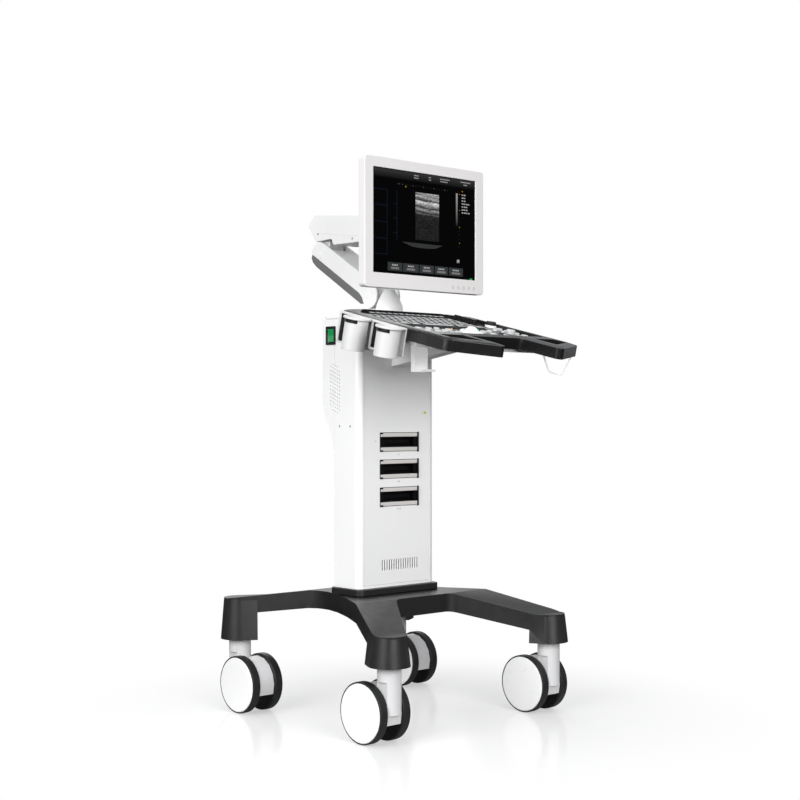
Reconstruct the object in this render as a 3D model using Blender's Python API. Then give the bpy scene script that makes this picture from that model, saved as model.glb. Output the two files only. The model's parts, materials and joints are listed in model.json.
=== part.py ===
"""Trolley-mounted ultrasound scanner: wheeled base, electronics column, sloping console, arm and monitor.

Frame: metres, +Z up, origin on the floor under the middle of the overall footprint. The user stands at
-Y and looks along +Y, so +X is the user's right. The pieces are laid out about the middle of the four
casters, and main() moves them all by ORIGIN_SHIFT, because the console reaches out in front.
"""
import math

import bmesh
import bpy
from mathutils import Matrix, Vector

GAP = 0.0003
ORIGIN_SHIFT = 0.065024
SEGMENTS = 24

# Casters
CASTER_X = 0.236
CASTER_Y = 0.249
WHEEL_RADIUS = 0.0625
WHEEL_WIDTH = 0.022
HOUSING_WIDTH = 0.038
TRAIL = 0.042
STEM_RADIUS = 0.0244
AXLE_RADIUS = 0.005
BOSS_BOTTOM = 0.157

# Base
HUB_TOP = 0.262
HUB_BOTTOM = 0.222
LEG_THICKNESS = 0.036
FRONT_BOSS_TOP = 0.219
REAR_BOSS_TOP = 0.248
BOSS_TOP_RADIUS = 0.036
BOSS_BOTTOM_RADIUS = 0.043
SKIRT_REACH = 0.034
SKIRT_WALL = 0.006
FRONT_LEG_ANGLE = -61.0
REAR_LEG_ANGLE = 29.0
PLINTH_TOP = 0.277

# Column
COLUMN_HALF_WIDTH = 0.1135
COLUMN_FRONT = -0.0137
COLUMN_BACK = 0.0675
COLUMN_TOP = 0.866
COLUMN_CORNER = 0.014
COVER_BACK = 0.108
WALL = 0.003
PANEL_HALF_WIDTH = 0.099
PORT_X = 0.005
PORT_HALF_WIDTH = 0.056
PORT_HALF_HEIGHT = 0.021
PORT_HEIGHTS = (0.595, 0.5355, 0.4745)
SWITCH_Y = 0.079
SWITCH_Z = 0.830

# Console: local x across, y up the slope, z out of the top face
CONSOLE_TILT = math.radians(13.0)
CONSOLE_ORIGIN = Vector((0.0, -0.040, 0.882))
CONSOLE_HALF_WIDTH = 0.195
CONSOLE_BACK = 0.018
CONSOLE_THICKNESS = 0.026
NOTCH_HALF_WIDTH = 0.078
NOTCH_DEPTH = -0.280
HORN_INNER = -0.392
HORN_OUTER = -0.350
BOTTOM_DROP = 0.010
TRACKBALL_Y = -0.212
TRACKBALL_RADIUS = 0.0155
KNOB_X = 0.156
KNOB_Y = -0.114
SLIDER_COUNT = 8
SLIDER_PITCH = 0.0085
SLIDER_X = 0.128
SLIDER_TOP_Y = -0.030
FREEZE_X = 0.118
CUP_TOP = -0.003
CUP_FLANGE = 0.029
CUP_RADIUS = 0.0245

# Monitor arm, as seen from the side (y, z)
SWIVEL_Y = 0.045
CAP_TOP = 0.874
LOWER_PIVOT = Vector((0.0, 0.045, 0.922))
UPPER_PIVOT = Vector((0.0, 0.215, 1.024))
ARM_HALF_WIDTH = 0.035
ARM_WALL = 0.004
ARM_UP = 0.030
ARM_DOWN = 0.010
COVER_THICKNESS = 0.019
LUG_HALF_WIDTH = 0.020
LINK_OFFSET = Vector((0.0, 0.013, -0.008))
UPPER_ARM_BOTTOM = 1.044
UPPER_ARM_TOP = 1.1185
UPPER_ARM_FRONT_TOP = 1.0935
PAN_Y = 0.008
TILT_Y = -0.048
TILT_Z = 1.042

# Monitor
MONITOR_HALF_WIDTH = 0.177
MONITOR_LOW = 0.924
MONITOR_HIGH = 1.2005
MONITOR_FRONT = -0.107
BEZEL_DEPTH = 0.020
MONITOR_BACK = -0.0685
SCREEN_HALF_WIDTH = 0.1525
SCREEN_LOW = 0.9555
SCREEN_HIGH = 1.178


def clear_scene():
    """Start from an empty scene."""
    for old in list(bpy.data.objects):
        bpy.data.objects.remove(old, do_unlink=True)


def make_material(name, color, roughness, metallic=0.0):
    """A plain Principled material."""
    material = bpy.data.materials.new(name)
    material.use_nodes = True
    shader = material.node_tree.nodes["Principled BSDF"]
    shader.inputs["Base Color"].default_value = (*color, 1.0)
    shader.inputs["Roughness"].default_value = roughness
    shader.inputs["Metallic"].default_value = metallic
    return material


def add_object(name, bm, material, parent=None, location=(0, 0, 0)):
    """Turn a bmesh into a named object with outward faces and smooth round sides."""
    bmesh.ops.recalc_face_normals(bm, faces=bm.faces)
    mesh = bpy.data.meshes.new(name)
    bm.to_mesh(mesh)
    bm.free()
    mesh.shade_smooth()
    mesh.set_sharp_from_angle(angle=math.radians(35))
    mesh.materials.append(material)
    piece = bpy.data.objects.new(name, mesh)
    piece.location = location
    piece.parent = parent
    bpy.context.scene.collection.objects.link(piece)
    return piece


def block(low, high):
    """A box between two corners."""
    bm = bmesh.new()
    bmesh.ops.create_cube(bm, size=1.0)
    size = Vector(high) - Vector(low)
    middle = (Vector(high) + Vector(low)) / 2
    bmesh.ops.scale(bm, vec=size, verts=bm.verts)
    bmesh.ops.translate(bm, vec=middle, verts=bm.verts)
    return bm


def prism(outline, low, high, direction="z"):
    """Extrude an outline of 2-D points; direction x reads them as (y, z), y as (x, z), z as (x, y)."""
    place = {"x": lambda p, d: (d, p[0], p[1]), "y": lambda p, d: (p[0], d, p[1]), "z": lambda p, d: (p[0], p[1], d)}
    bm = bmesh.new()
    bottom = [bm.verts.new(place[direction](point, low)) for point in outline]
    top = [bm.verts.new(place[direction](point, high)) for point in outline]
    bm.faces.new(bottom)
    bm.faces.new(top)
    count = len(outline)
    for i in range(count):
        following = (i + 1) % count
        bm.faces.new((bottom[i], bottom[following], top[following], top[i]))
    return bm


def turned(profile, segments=SEGMENTS, axis="z", centre=(0, 0, 0)):
    """Spin a closed (radius, height) profile; points at radius 0 lie on the axis."""
    bm = bmesh.new()
    rings = []
    for radius, height in profile:
        if radius == 0.0:
            rings.append([bm.verts.new((0, 0, height))])
            continue
        ring = []
        for step in range(segments):
            angle = 2 * math.pi * step / segments
            ring.append(bm.verts.new((radius * math.cos(angle), radius * math.sin(angle), height)))
        rings.append(ring)
    pairs = list(zip(rings, rings[1:]))
    if len(rings[0]) > 1:
        pairs.append((rings[-1], rings[0]))
    for first, second in pairs:
        for step in range(segments):
            after = (step + 1) % segments
            if len(first) == 1:
                bm.faces.new((first[0], second[step], second[after]))
            elif len(second) == 1:
                bm.faces.new((first[step], second[0], first[after]))
            else:
                bm.faces.new((first[step], second[step], second[after], first[after]))
    turns = {"z": Matrix.Identity(3), "x": Matrix.Rotation(math.radians(90), 3, "Y"),
             "y": Matrix.Rotation(math.radians(-90), 3, "X")}
    bmesh.ops.rotate(bm, cent=(0, 0, 0), matrix=turns[axis], verts=bm.verts)
    bmesh.ops.translate(bm, vec=centre, verts=bm.verts)
    return bm


def rod(radius, low, high, axis="z", centre=(0, 0, 0), segments=SEGMENTS):
    """A solid cylinder along an axis, from low to high measured from centre."""
    return turned([(0.0, low), (radius, low), (radius, high), (0.0, high)], segments, axis, centre)


def arc(centre, radius, start, end, steps):
    """Points on an arc in degrees."""
    points = []
    for step in range(steps + 1):
        angle = math.radians(start + (end - start) * step / steps)
        points.append((centre[0] + radius * math.cos(angle), centre[1] + radius * math.sin(angle)))
    return points


def round_rectangle(left, front, right, back, radius, steps=3):
    """Outline of a rectangle with rounded corners."""
    corners = ((right - radius, back - radius, 0), (left + radius, back - radius, 90),
               (left + radius, front + radius, 180), (right - radius, front + radius, 270))
    points = []
    for x, y, start in corners:
        points += arc((x, y), radius, start, start + 90, steps)
    return points


def mirrored(points):
    """Close a half outline (x >= 0, front to back) with its mirror image."""
    return points + [(-x, y) for x, y in reversed(points) if x > 1e-6]


def combine(target, bm, operation):
    """Apply one EXACT Boolean to an object with a temporary cutter."""
    bmesh.ops.recalc_face_normals(bm, faces=bm.faces)
    mesh = bpy.data.meshes.new("tool")
    bm.to_mesh(mesh)
    bm.free()
    tool = bpy.data.objects.new("tool", mesh)
    bpy.context.scene.collection.objects.link(tool)
    tool.parent = target.parent
    tool.location = target.location
    modifier = target.modifiers.new("shape", "BOOLEAN")
    modifier.operation = operation
    modifier.solver = "EXACT"
    modifier.object = tool
    bpy.context.view_layer.update()
    evaluated = target.evaluated_get(bpy.context.evaluated_depsgraph_get())
    result = bpy.data.meshes.new_from_object(evaluated)
    target.modifiers.clear()
    old = target.data
    target.data = result
    bpy.data.meshes.remove(old)
    bpy.data.objects.remove(tool, do_unlink=True)
    bpy.data.meshes.remove(mesh)


def cut(target, bm):
    """Take a shape away."""
    combine(target, bm, "DIFFERENCE")


def join(target, bm):
    """Add a shape."""
    combine(target, bm, "UNION")


def keep(target, bm):
    """Keep only what lies inside a shape."""
    combine(target, bm, "INTERSECT")


def skirt_outline(centre, angle, radius, reach):
    """Plan of a boss skirt: a half circle facing outwards, with straight walls running back along the leg."""
    points = arc(centre, radius, angle - 90, angle + 90, 10)
    back = Vector((math.cos(math.radians(angle)), math.sin(math.radians(angle)))) * -reach
    return points + [(points[-1][0] + back.x, points[-1][1] + back.y), (points[0][0] + back.x, points[0][1] + back.y)]


def loft(lower, low, upper, high):
    """A closed solid between two outlines with the same number of points."""
    bm = bmesh.new()
    bottom = [bm.verts.new((x, y, low)) for x, y in lower]
    top = [bm.verts.new((x, y, high)) for x, y in upper]
    bm.faces.new(bottom)
    bm.faces.new(top)
    count = len(lower)
    for i in range(count):
        following = (i + 1) % count
        bm.faces.new((bottom[i], bottom[following], top[following], top[i]))
    return bm


def base_outline():
    """Plan of the four-legged base, right half first, from the front middle round to the back."""
    half = [(0.0, -0.098), (0.066, -0.098)]
    half += arc((0.066, -0.128), 0.030, 90, 30, 3)[1:]
    half += arc((CASTER_X, -CASTER_Y), BOSS_TOP_RADIUS, 210, 388, 8)
    half += [(0.150, -0.020), (0.118, 0.050), (0.104, 0.100), (0.106, 0.132), (0.122, 0.156)]
    half += arc((CASTER_X, CASTER_Y), BOSS_TOP_RADIUS, -62, 118, 8)
    half += [(0.090, 0.212), (0.0, 0.205)]
    return mirrored(half)


def build_base(materials):
    """The cast base with its four caster bosses, and the plinth under the column."""
    frame = add_object("base_frame", prism(base_outline(), 0.150, 0.300), materials["base_black"])
    slab = [(-0.300, FRONT_BOSS_TOP), (-CASTER_Y, FRONT_BOSS_TOP), (-0.098, HUB_TOP), (0.150, HUB_TOP),
            (CASTER_Y, REAR_BOSS_TOP), (0.300, REAR_BOSS_TOP), (0.300, REAR_BOSS_TOP - LEG_THICKNESS),
            (CASTER_Y, REAR_BOSS_TOP - LEG_THICKNESS), (0.150, HUB_BOTTOM), (-0.098, HUB_BOTTOM),
            (-CASTER_Y, FRONT_BOSS_TOP - LEG_THICKNESS), (-0.300, FRONT_BOSS_TOP - LEG_THICKNESS)]
    keep(frame, prism(slab, -0.350, 0.350, "x"))
    for side in (-1, 1):
        for y, top, outward in ((-CASTER_Y, FRONT_BOSS_TOP, FRONT_LEG_ANGLE), (CASTER_Y, REAR_BOSS_TOP, REAR_LEG_ANGLE)):
            angle = outward if side > 0 else 180 - outward
            centre = (side * CASTER_X, y)
            join(frame, loft(skirt_outline(centre, angle, BOSS_BOTTOM_RADIUS, SKIRT_REACH), BOSS_BOTTOM,
                             skirt_outline(centre, angle, BOSS_TOP_RADIUS + 0.0002, SKIRT_REACH), top - 0.004))
            cut(frame, loft(skirt_outline(centre, angle, BOSS_BOTTOM_RADIUS - SKIRT_WALL, 0.070), BOSS_BOTTOM - 0.010,
                            skirt_outline(centre, angle, BOSS_TOP_RADIUS - SKIRT_WALL, 0.070), top - LEG_THICKNESS))
            join(frame, rod(STEM_RADIUS - 0.004, BOSS_BOTTOM + 0.024, top - 0.010, centre=(*centre, 0)))
    plinth = prism(round_rectangle(-0.121, -0.026, 0.121, 0.078, 0.016), HUB_TOP + GAP, PLINTH_TOP)
    add_object("column_plinth", plinth, materials["base_black"])


def build_caster(tag, x, y, trail, materials, brake):
    """One swivelling twin-wheel caster: housing with stem, axle, two wheels and, at the front, a brake."""
    axis = bpy.data.objects.new("caster_axis_" + tag, None)
    axis.location = (x, y, 0)
    bpy.context.scene.collection.objects.link(axis)
    half = HOUSING_WIDTH / 2
    cover = arc((trail, WHEEL_RADIUS), WHEEL_RADIUS - 0.004, -20, 200, 10)
    if trail < 0:
        cover = [(-point[0] + 2 * trail, point[1]) for point in cover]
    housing = add_object("caster_housing_" + tag, prism(cover, -half, half, "x"), materials["white"], axis)
    top = BOSS_BOTTOM + 0.020
    join(housing, rod(STEM_RADIUS, WHEEL_RADIUS, top))
    keep(housing, prism([(-0.120, 0.020), (0.120, 0.020), (0.120, top), (-0.120, top)], -half, half, "x"))
    join(housing, rod(STEM_RADIUS, WHEEL_RADIUS * 2 + 0.003, top + 0.001))
    cut(housing, rod(AXLE_RADIUS + 0.0005, -0.060, 0.060, "x", (0, trail, WHEEL_RADIUS), 16))
    reach = half + GAP + WHEEL_WIDTH - 0.006
    add_object("caster_axle_" + tag, rod(AXLE_RADIUS, -reach, reach, "x", (0, trail, WHEEL_RADIUS), 16),
               materials["steel"], axis)
    for side, name in ((-1, "left"), (1, "right")):
        near = half + GAP * 2
        far = near + WHEEL_WIDTH
        radius = WHEEL_RADIUS
        bore = AXLE_RADIUS + 0.0005
        profile = [(0.0, near), (radius - 0.003, near), (radius, near + 0.003), (radius, far - 0.003),
                   (radius - 0.003, far), (0.0, far)]
        solid = turned([(r, side * h) for r, h in profile], 28, "x", (0, trail, WHEEL_RADIUS))
        piece = add_object("wheel_" + name + "_" + tag, solid, materials["rubber"], axis)
        low, high = sorted((side * (near - 0.001), side * (far - 0.005)))
        cut(piece, rod(bore, low, high, "x", (0, trail, WHEEL_RADIUS), 16))
    if brake:
        build_brake(tag, housing, axis, trail, half, materials)


def build_brake(tag, housing, axis, trail, half, materials):
    """Brake pedal that sits in a slot at the back of a caster's housing."""
    pivot = (0, trail * 2.1, 0.080)
    direction = 1 if trail > 0 else -1
    width = half - 0.005
    pocket = [(pivot[1] - direction * 0.014, 0.015), (pivot[1] + direction * 0.060, 0.015),
              (pivot[1] + direction * 0.060, 0.094), (pivot[1] - direction * 0.014, 0.094)]
    cut(housing, prism(pocket, -width - 0.001, width + 0.001, "x"))
    pedal = [(-direction * 0.008, -0.010), (direction * 0.030, -0.016), (direction * 0.034, -0.008),
             (direction * 0.010, 0.008), (-direction * 0.008, 0.008)]
    add_object("brake_pedal_" + tag, prism(pedal, -width, width, "x"), materials["grey"], axis, pivot)


def column_outline(back):
    """Plan of the column with round front corners."""
    wide = COLUMN_HALF_WIDTH
    points = arc((-wide + COLUMN_CORNER, COLUMN_FRONT + COLUMN_CORNER), COLUMN_CORNER, 180, 270, 4)
    points += arc((wide - COLUMN_CORNER, COLUMN_FRONT + COLUMN_CORNER), COLUMN_CORNER, 270, 360, 4)
    return points + [(wide, back), (-wide, back)]


def build_column(materials):
    """Column shell, front panel, rear cover, cap, electronics chassis, probe ports and power switch."""
    white = materials["white"]
    bottom = PLINTH_TOP + GAP
    shell = add_object("column_shell", prism(column_outline(COLUMN_BACK), bottom, COLUMN_TOP), white)
    inner = COLUMN_HALF_WIDTH - WALL
    cut(shell, block((-inner, COLUMN_FRONT + 0.012, bottom + 0.006), (inner, COLUMN_BACK - WALL, COLUMN_TOP + 0.01)))
    cut(shell, block((-PANEL_HALF_WIDTH, COLUMN_FRONT - 0.01, bottom + 0.006),
                     (PANEL_HALF_WIDTH, COLUMN_FRONT + 0.020, COLUMN_TOP + 0.01)))
    cut(shell, block((-inner + 0.010, COLUMN_BACK - 0.010, 0.600), (inner - 0.010, COLUMN_BACK + 0.01, 0.850)))
    add_front_panel(bottom, materials)
    add_rear_cover(white)
    cap = prism(round_rectangle(-COLUMN_HALF_WIDTH, COLUMN_FRONT, COLUMN_HALF_WIDTH, COVER_BACK, COLUMN_CORNER),
                COLUMN_TOP + GAP, CAP_TOP)
    add_object("column_cap", cap, white)
    chassis = block((-0.085, 0.012, 0.290), (0.085, 0.058, 0.560))
    add_object("electronics_chassis", chassis, materials["steel"])
    for number, height in enumerate(PORT_HEIGHTS, 1):
        add_port(number, height, materials)
    add_switch(shell, materials)


def add_front_panel(bottom, materials):
    """Flat front panel with three port openings."""
    panel = block((-PANEL_HALF_WIDTH + GAP, COLUMN_FRONT + 0.0005, bottom + 0.006 + GAP),
                  (PANEL_HALF_WIDTH - GAP, COLUMN_FRONT + 0.0035, COLUMN_TOP - GAP))
    piece = add_object("front_panel", panel, materials["white"])
    for height in PORT_HEIGHTS:
        cut(piece, block((PORT_X - PORT_HALF_WIDTH, COLUMN_FRONT - 0.01, height - PORT_HALF_HEIGHT),
                         (PORT_X + PORT_HALF_WIDTH, COLUMN_FRONT + 0.01, height + PORT_HALF_HEIGHT)))


def add_rear_cover(white):
    """Bulged cover over the electronics at the back of the column, hollow towards the column."""
    front = COLUMN_BACK + GAP
    profile = [(front, 0.586), (0.070, 0.586), (COVER_BACK, 0.678), (COVER_BACK, COLUMN_TOP), (front, COLUMN_TOP)]
    cover = add_object("rear_cover", prism(profile, -COLUMN_HALF_WIDTH, COLUMN_HALF_WIDTH, "x"), white)
    hollow = [(front - 0.01, 0.600), (0.072, 0.600), (COVER_BACK - WALL, 0.682),
              (COVER_BACK - WALL, COLUMN_TOP - WALL), (front - 0.01, COLUMN_TOP - WALL)]
    inner = COLUMN_HALF_WIDTH - WALL
    cut(cover, prism(hollow, -inner, inner, "x"))


def add_port(number, height, materials):
    """One probe socket: a framed tray with a deep mouth."""
    margin = GAP * 2
    low = (PORT_X - PORT_HALF_WIDTH + margin, COLUMN_FRONT, height - PORT_HALF_HEIGHT + margin)
    high = (PORT_X + PORT_HALF_WIDTH - margin, COLUMN_FRONT + 0.024, height + PORT_HALF_HEIGHT - margin)
    port = add_object("probe_port_" + str(number), block(low, high), materials["port_black"])
    cut(port, block((PORT_X - 0.046, COLUMN_FRONT - 0.01, height - 0.012),
                    (PORT_X + 0.046, COLUMN_FRONT + 0.016, height + 0.012)))


def add_switch(shell, materials):
    """Mains rocker switch on the left side, turning about a horizontal pin."""
    wide = COLUMN_HALF_WIDTH
    cover = bpy.data.objects["rear_cover"]
    opening = block((-wide - 0.01, SWITCH_Y - 0.0105, SWITCH_Z - 0.0155),
                    (-wide + 0.012, SWITCH_Y + 0.0105, SWITCH_Z + 0.0155))
    cut(cover, opening)
    rocker = [(-0.004, 0.014), (0.0035, 0.0142), (0.0010, 0.0), (0.0010, -0.014), (-0.004, -0.014)]
    outline = [(-depth, height) for depth, height in rocker]
    add_object("power_switch", prism(outline, -0.0095, 0.0095, "y"), materials["green"], None,
               (-wide + 0.001, SWITCH_Y, SWITCH_Z))


def console_half_outline(inset=0.0):
    """Right half of the console's plan: notch between two horn-shaped handles, straight side, flared back."""
    wide = CONSOLE_HALF_WIDTH - inset
    notch = NOTCH_HALF_WIDTH + inset
    points = [(0.0, NOTCH_DEPTH + inset), (notch - 0.014, NOTCH_DEPTH + inset)]
    points += [(notch, NOTCH_DEPTH - 0.014)]
    points += arc((notch + 0.012, HORN_INNER + 0.012 + inset), 0.012, 180, 285, 4)
    points += arc((wide - 0.024, HORN_OUTER + 0.024 + inset), 0.024, 285, 360, 4)
    points += [(wide, -0.020), (0.134 - inset, CONSOLE_BACK - inset), (0.0, CONSOLE_BACK - inset)]
    return points


def build_console(materials):
    """Sloping control console with its handles, controls, bracket, probe cups and hooks."""
    datum = bpy.data.objects.new("console_datum", None)
    datum.location = CONSOLE_ORIGIN
    datum.rotation_euler = (CONSOLE_TILT, 0, 0)
    bpy.context.scene.collection.objects.link(datum)
    bpy.context.view_layer.update()
    outline = mirrored(console_half_outline())
    top = add_object("console_top", prism(outline, -CONSOLE_THICKNESS, 0.0), materials["console_black"], datum)
    for side in (-1, 1):
        slot = [(side * x, y) for x, y in ((0.106, -0.292), (0.172, -0.292), (0.172, -0.327), (0.106, -0.357))]
        cut(top, prism(slot, -0.05, 0.05))
    deck_half = [(0.0, -0.262), (0.166, -0.262), (0.172, -0.256), (0.172, -0.048), (0.122, 0.004), (0.0, 0.004)]
    deck_cut = mirrored(deck_half)
    cut(top, prism(deck_cut, -0.008, 0.02))
    cut(top, rod(TRACKBALL_RADIUS + 0.001, -0.0245, 0.01, centre=(0, TRACKBALL_Y, 0)))
    add_key_deck(datum, materials)
    add_controls(datum, materials)
    add_console_bottom(datum, materials)
    root = COLUMN_FRONT - GAP
    profile = [(root, 0.7615), under_console(root), under_console(-0.215), (-0.215, 0.7935)]
    add_object("console_bracket", prism(profile, -0.018, 0.018, "x"), materials["white"])


def add_key_deck(datum, materials):
    """Key mat: one moulded sheet with a raised pad for each key."""
    mat = add_object("key_mat", key_grid(-0.1715, 0.1085, -0.172, -0.048, 16, 5), materials["key_grey"], datum)
    join(mat, key_grid(-0.120, 0.105, -0.0485, 0.002, 13, 2))


def key_grid(left, right, front, back, columns, rows):
    """A closed plate whose top is a grid of cells, each inset and raised into a key."""
    bm = bmesh.new()
    base, face_height, key_height = -0.0077, -0.0010, 0.0032
    lattice = []
    for row in range(rows + 1):
        y = front + (back - front) * row / rows
        line = [bm.verts.new((left + (right - left) * col / columns, y, face_height)) for col in range(columns + 1)]
        lattice.append(line)
    cells = []
    for row in range(rows):
        for col in range(columns):
            corners = (lattice[row][col], lattice[row][col + 1], lattice[row + 1][col + 1], lattice[row + 1][col])
            cells.append(bm.faces.new(corners))
    rim = lattice[0] + [line[-1] for line in lattice[1:]] + lattice[-1][-2::-1] + [line[0] for line in lattice[-2:0:-1]]
    lower = [bm.verts.new((vert.co.x, vert.co.y, base)) for vert in rim]
    count = len(rim)
    for i in range(count):
        after = (i + 1) % count
        bm.faces.new((rim[i], lower[i], lower[after], rim[after]))
    bm.faces.new(lower[::-1])
    bm.normal_update()
    bmesh.ops.inset_individual(bm, faces=cells, thickness=0.0016)
    bmesh.ops.inset_individual(bm, faces=cells, thickness=0.0005, depth=key_height - face_height)
    return bm


def add_controls(datum, materials):
    """Trackball, gain knob, freeze button and the row of time-gain sliders."""
    ball = bmesh.new()
    bmesh.ops.create_icosphere(ball, subdivisions=3, radius=TRACKBALL_RADIUS)
    add_object("trackball", ball, materials["white"], datum, (0, TRACKBALL_Y, -0.0085))
    knob = turned([(0.0, 0.0), (0.013, 0.0), (0.0115, 0.013), (0.0, 0.013)])
    add_object("gain_knob", knob, materials["console_black"], datum, (KNOB_X, KNOB_Y, -0.0075))
    button = turned([(0.0, 0.0), (0.010, 0.0), (0.010, 0.008), (0.008, 0.010), (0.0, 0.010)])
    add_object("freeze_button", button, materials["key_grey"], datum, (FREEZE_X, TRACKBALL_Y, -0.0055))
    for number in range(SLIDER_COUNT):
        y = SLIDER_TOP_Y - number * SLIDER_PITCH
        cap = prism([(-0.0045, 0.0), (0.0045, 0.0), (0.003, 0.012), (-0.003, 0.012)], -0.0033, 0.0033, "y")
        add_object("tgc_slider_" + str(number + 1), cap, materials["console_black"], datum,
                   (SLIDER_X, y, -0.0075))


def add_console_bottom(datum, materials):
    """White underside cover, shorter than the top and clear of the handles."""
    half = [(0.0, -0.268), (0.150, -0.268), (0.180, -0.240), (0.180, -0.050), (0.118, 0.012), (0.0, 0.012)]
    low = -CONSOLE_THICKNESS - BOTTOM_DROP
    add_object("console_bottom", prism(mirrored(half), low, -CONSOLE_THICKNESS - GAP), materials["white"], datum)


def under_console(y):
    """Point (y, z) just below the console's sloping underside."""
    depth = CONSOLE_THICKNESS + BOTTOM_DROP + 2 * GAP
    rise = (y - CONSOLE_ORIGIN.y) * math.tan(CONSOLE_TILT)
    return y, CONSOLE_ORIGIN.z + rise - depth / math.cos(CONSOLE_TILT)


def build_cups(materials):
    """Probe cups on the console's left flank and the cable hooks under the console."""
    add_cup("rear", -0.022, -0.106, 0.066, materials["white"])
    add_cup("front", -0.1255, -0.2065, 0.060, materials["white"])
    profile = [(-0.158, 0.746), (-0.146, 0.746), under_console(-0.146), under_console(-0.158)]
    piece = add_object("cable_hook_left", prism(profile, -0.082, -0.044, "x"), materials["white"])
    join(piece, block((-0.082, -0.182, 0.746), (-0.044, -0.150, 0.751)))
    top = -CONSOLE_THICKNESS - GAP
    low = -0.0755
    bar = 0.004
    loop = prism([(-0.240, top), (-0.2754, low), (-0.3157, low), (-0.335, top)], 0.186, 0.190, "x")
    datum = bpy.data.objects["console_datum"]
    piece = add_object("cable_hook_right", loop, materials["white"], datum)
    cut(piece, prism([(-0.2475, top - bar), (-0.2785, low + bar), (-0.3135, low + bar), (-0.3285, top - bar)],
                     0.180, 0.196, "x"))


def add_cup(name, start, centre_y, height, white):
    """One probe cup in the console's frame: a bracket along the flank and a round well hanging from its flange."""
    side = -CONSOLE_HALF_WIDTH - GAP
    rail = side - 0.010
    centre = (side - 0.0322, centre_y)
    top = CUP_TOP
    low = top - height
    sweep = math.degrees(math.acos((rail - centre[0]) / CUP_FLANGE))
    flange = [(side, start), (rail, start)] + arc(centre, CUP_FLANGE, sweep, 360 - sweep, 16)
    flange += [(side, flange[-1][1])]
    end = flange[-1][1]
    datum = bpy.data.objects["console_datum"]
    cup = add_object("probe_cup_" + name, prism(flange, top - 0.004, top), white, datum)
    join(cup, block((side - 0.003, end, low), (side, start, top - 0.001)))
    join(cup, block((rail, start - 0.006, low), (side - 0.001, start, top - 0.001)))
    join(cup, block((rail, centre_y, low), (side - 0.001, start - 0.001, low + 0.004)))
    join(cup, rod(CUP_RADIUS, low - 0.002, top - 0.001, centre=(*centre, 0), segments=28))
    cut(cup, rod(CUP_RADIUS - WALL, low - 0.01, top + 0.01, centre=(*centre, 0), segments=28))


def arm_side_outline():
    """Side view of the lower arm's white channel, (y, z)."""
    along = (UPPER_PIVOT - LOWER_PIVOT).normalized()
    up = Vector((0, -along.z, along.y))
    angle = math.degrees(math.atan2(along.z, along.y))
    points = arc((UPPER_PIVOT.y, UPPER_PIVOT.z), ARM_UP, angle + 90, angle - 20, 8)
    low_end = UPPER_PIVOT - up * ARM_DOWN + along * (ARM_UP - 0.003)
    bend = LOWER_PIVOT - up * ARM_DOWN + along * 0.030
    foot = [(low_end.y, low_end.z), (bend.y, bend.z), (0.0655, 0.9185), (0.0600, 0.9045)]
    return points + foot + arc((LOWER_PIVOT.y, LOWER_PIVOT.z), ARM_UP, -65, angle - 270, 14)


def build_arm(materials):
    """Swivel head, parallel-link lower arm, elbow, upper arm and the monitor's pan and tilt joints."""
    white = materials["white"]
    socket = turned([(0.0, CAP_TOP + GAP), (0.0545, CAP_TOP + GAP), (0.0535, 0.880), (0.0, 0.880)],
                    centre=(0, SWIVEL_Y, 0), segments=40)
    add_object("arm_socket", socket, white)
    bell = turned([(0.0, 0.8803), (0.0525, 0.8803), (0.0525, 0.889), (0.0515, 0.898), (0.0470, 0.909), (0.0430, 0.9186),
                   (0.0392, 0.927), (0.0368, 0.934), (0.0, 0.934)], centre=(0, SWIVEL_Y, 0), segments=48)
    head = add_object("swivel_head", bell, white)
    cut(head, block((-0.060, 0.0115, 0.889), (0.060, 0.120, 0.950)))
    lug = [(0.010, 0.8885), (0.056, 0.8885)]
    lug += arc((LOWER_PIVOT.y, LOWER_PIVOT.z), 0.022, -35, 180, 8)
    lug += [(0.010, 0.922)]
    join(head, prism(lug, -LUG_HALF_WIDTH, LUG_HALF_WIDTH, "x"))
    join(head, rod(0.006, -0.034, 0.034, "x", LOWER_PIVOT, 16))
    lower_link = LOWER_PIVOT + LINK_OFFSET
    join(head, rod(0.003, 0.010, 0.029, "x", lower_link, 12))
    add_lower_arm(materials)
    add_tie_link(lower_link, materials)
    add_elbow(white)
    add_upper_arm(white)
    add_monitor_mount(white)


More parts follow.
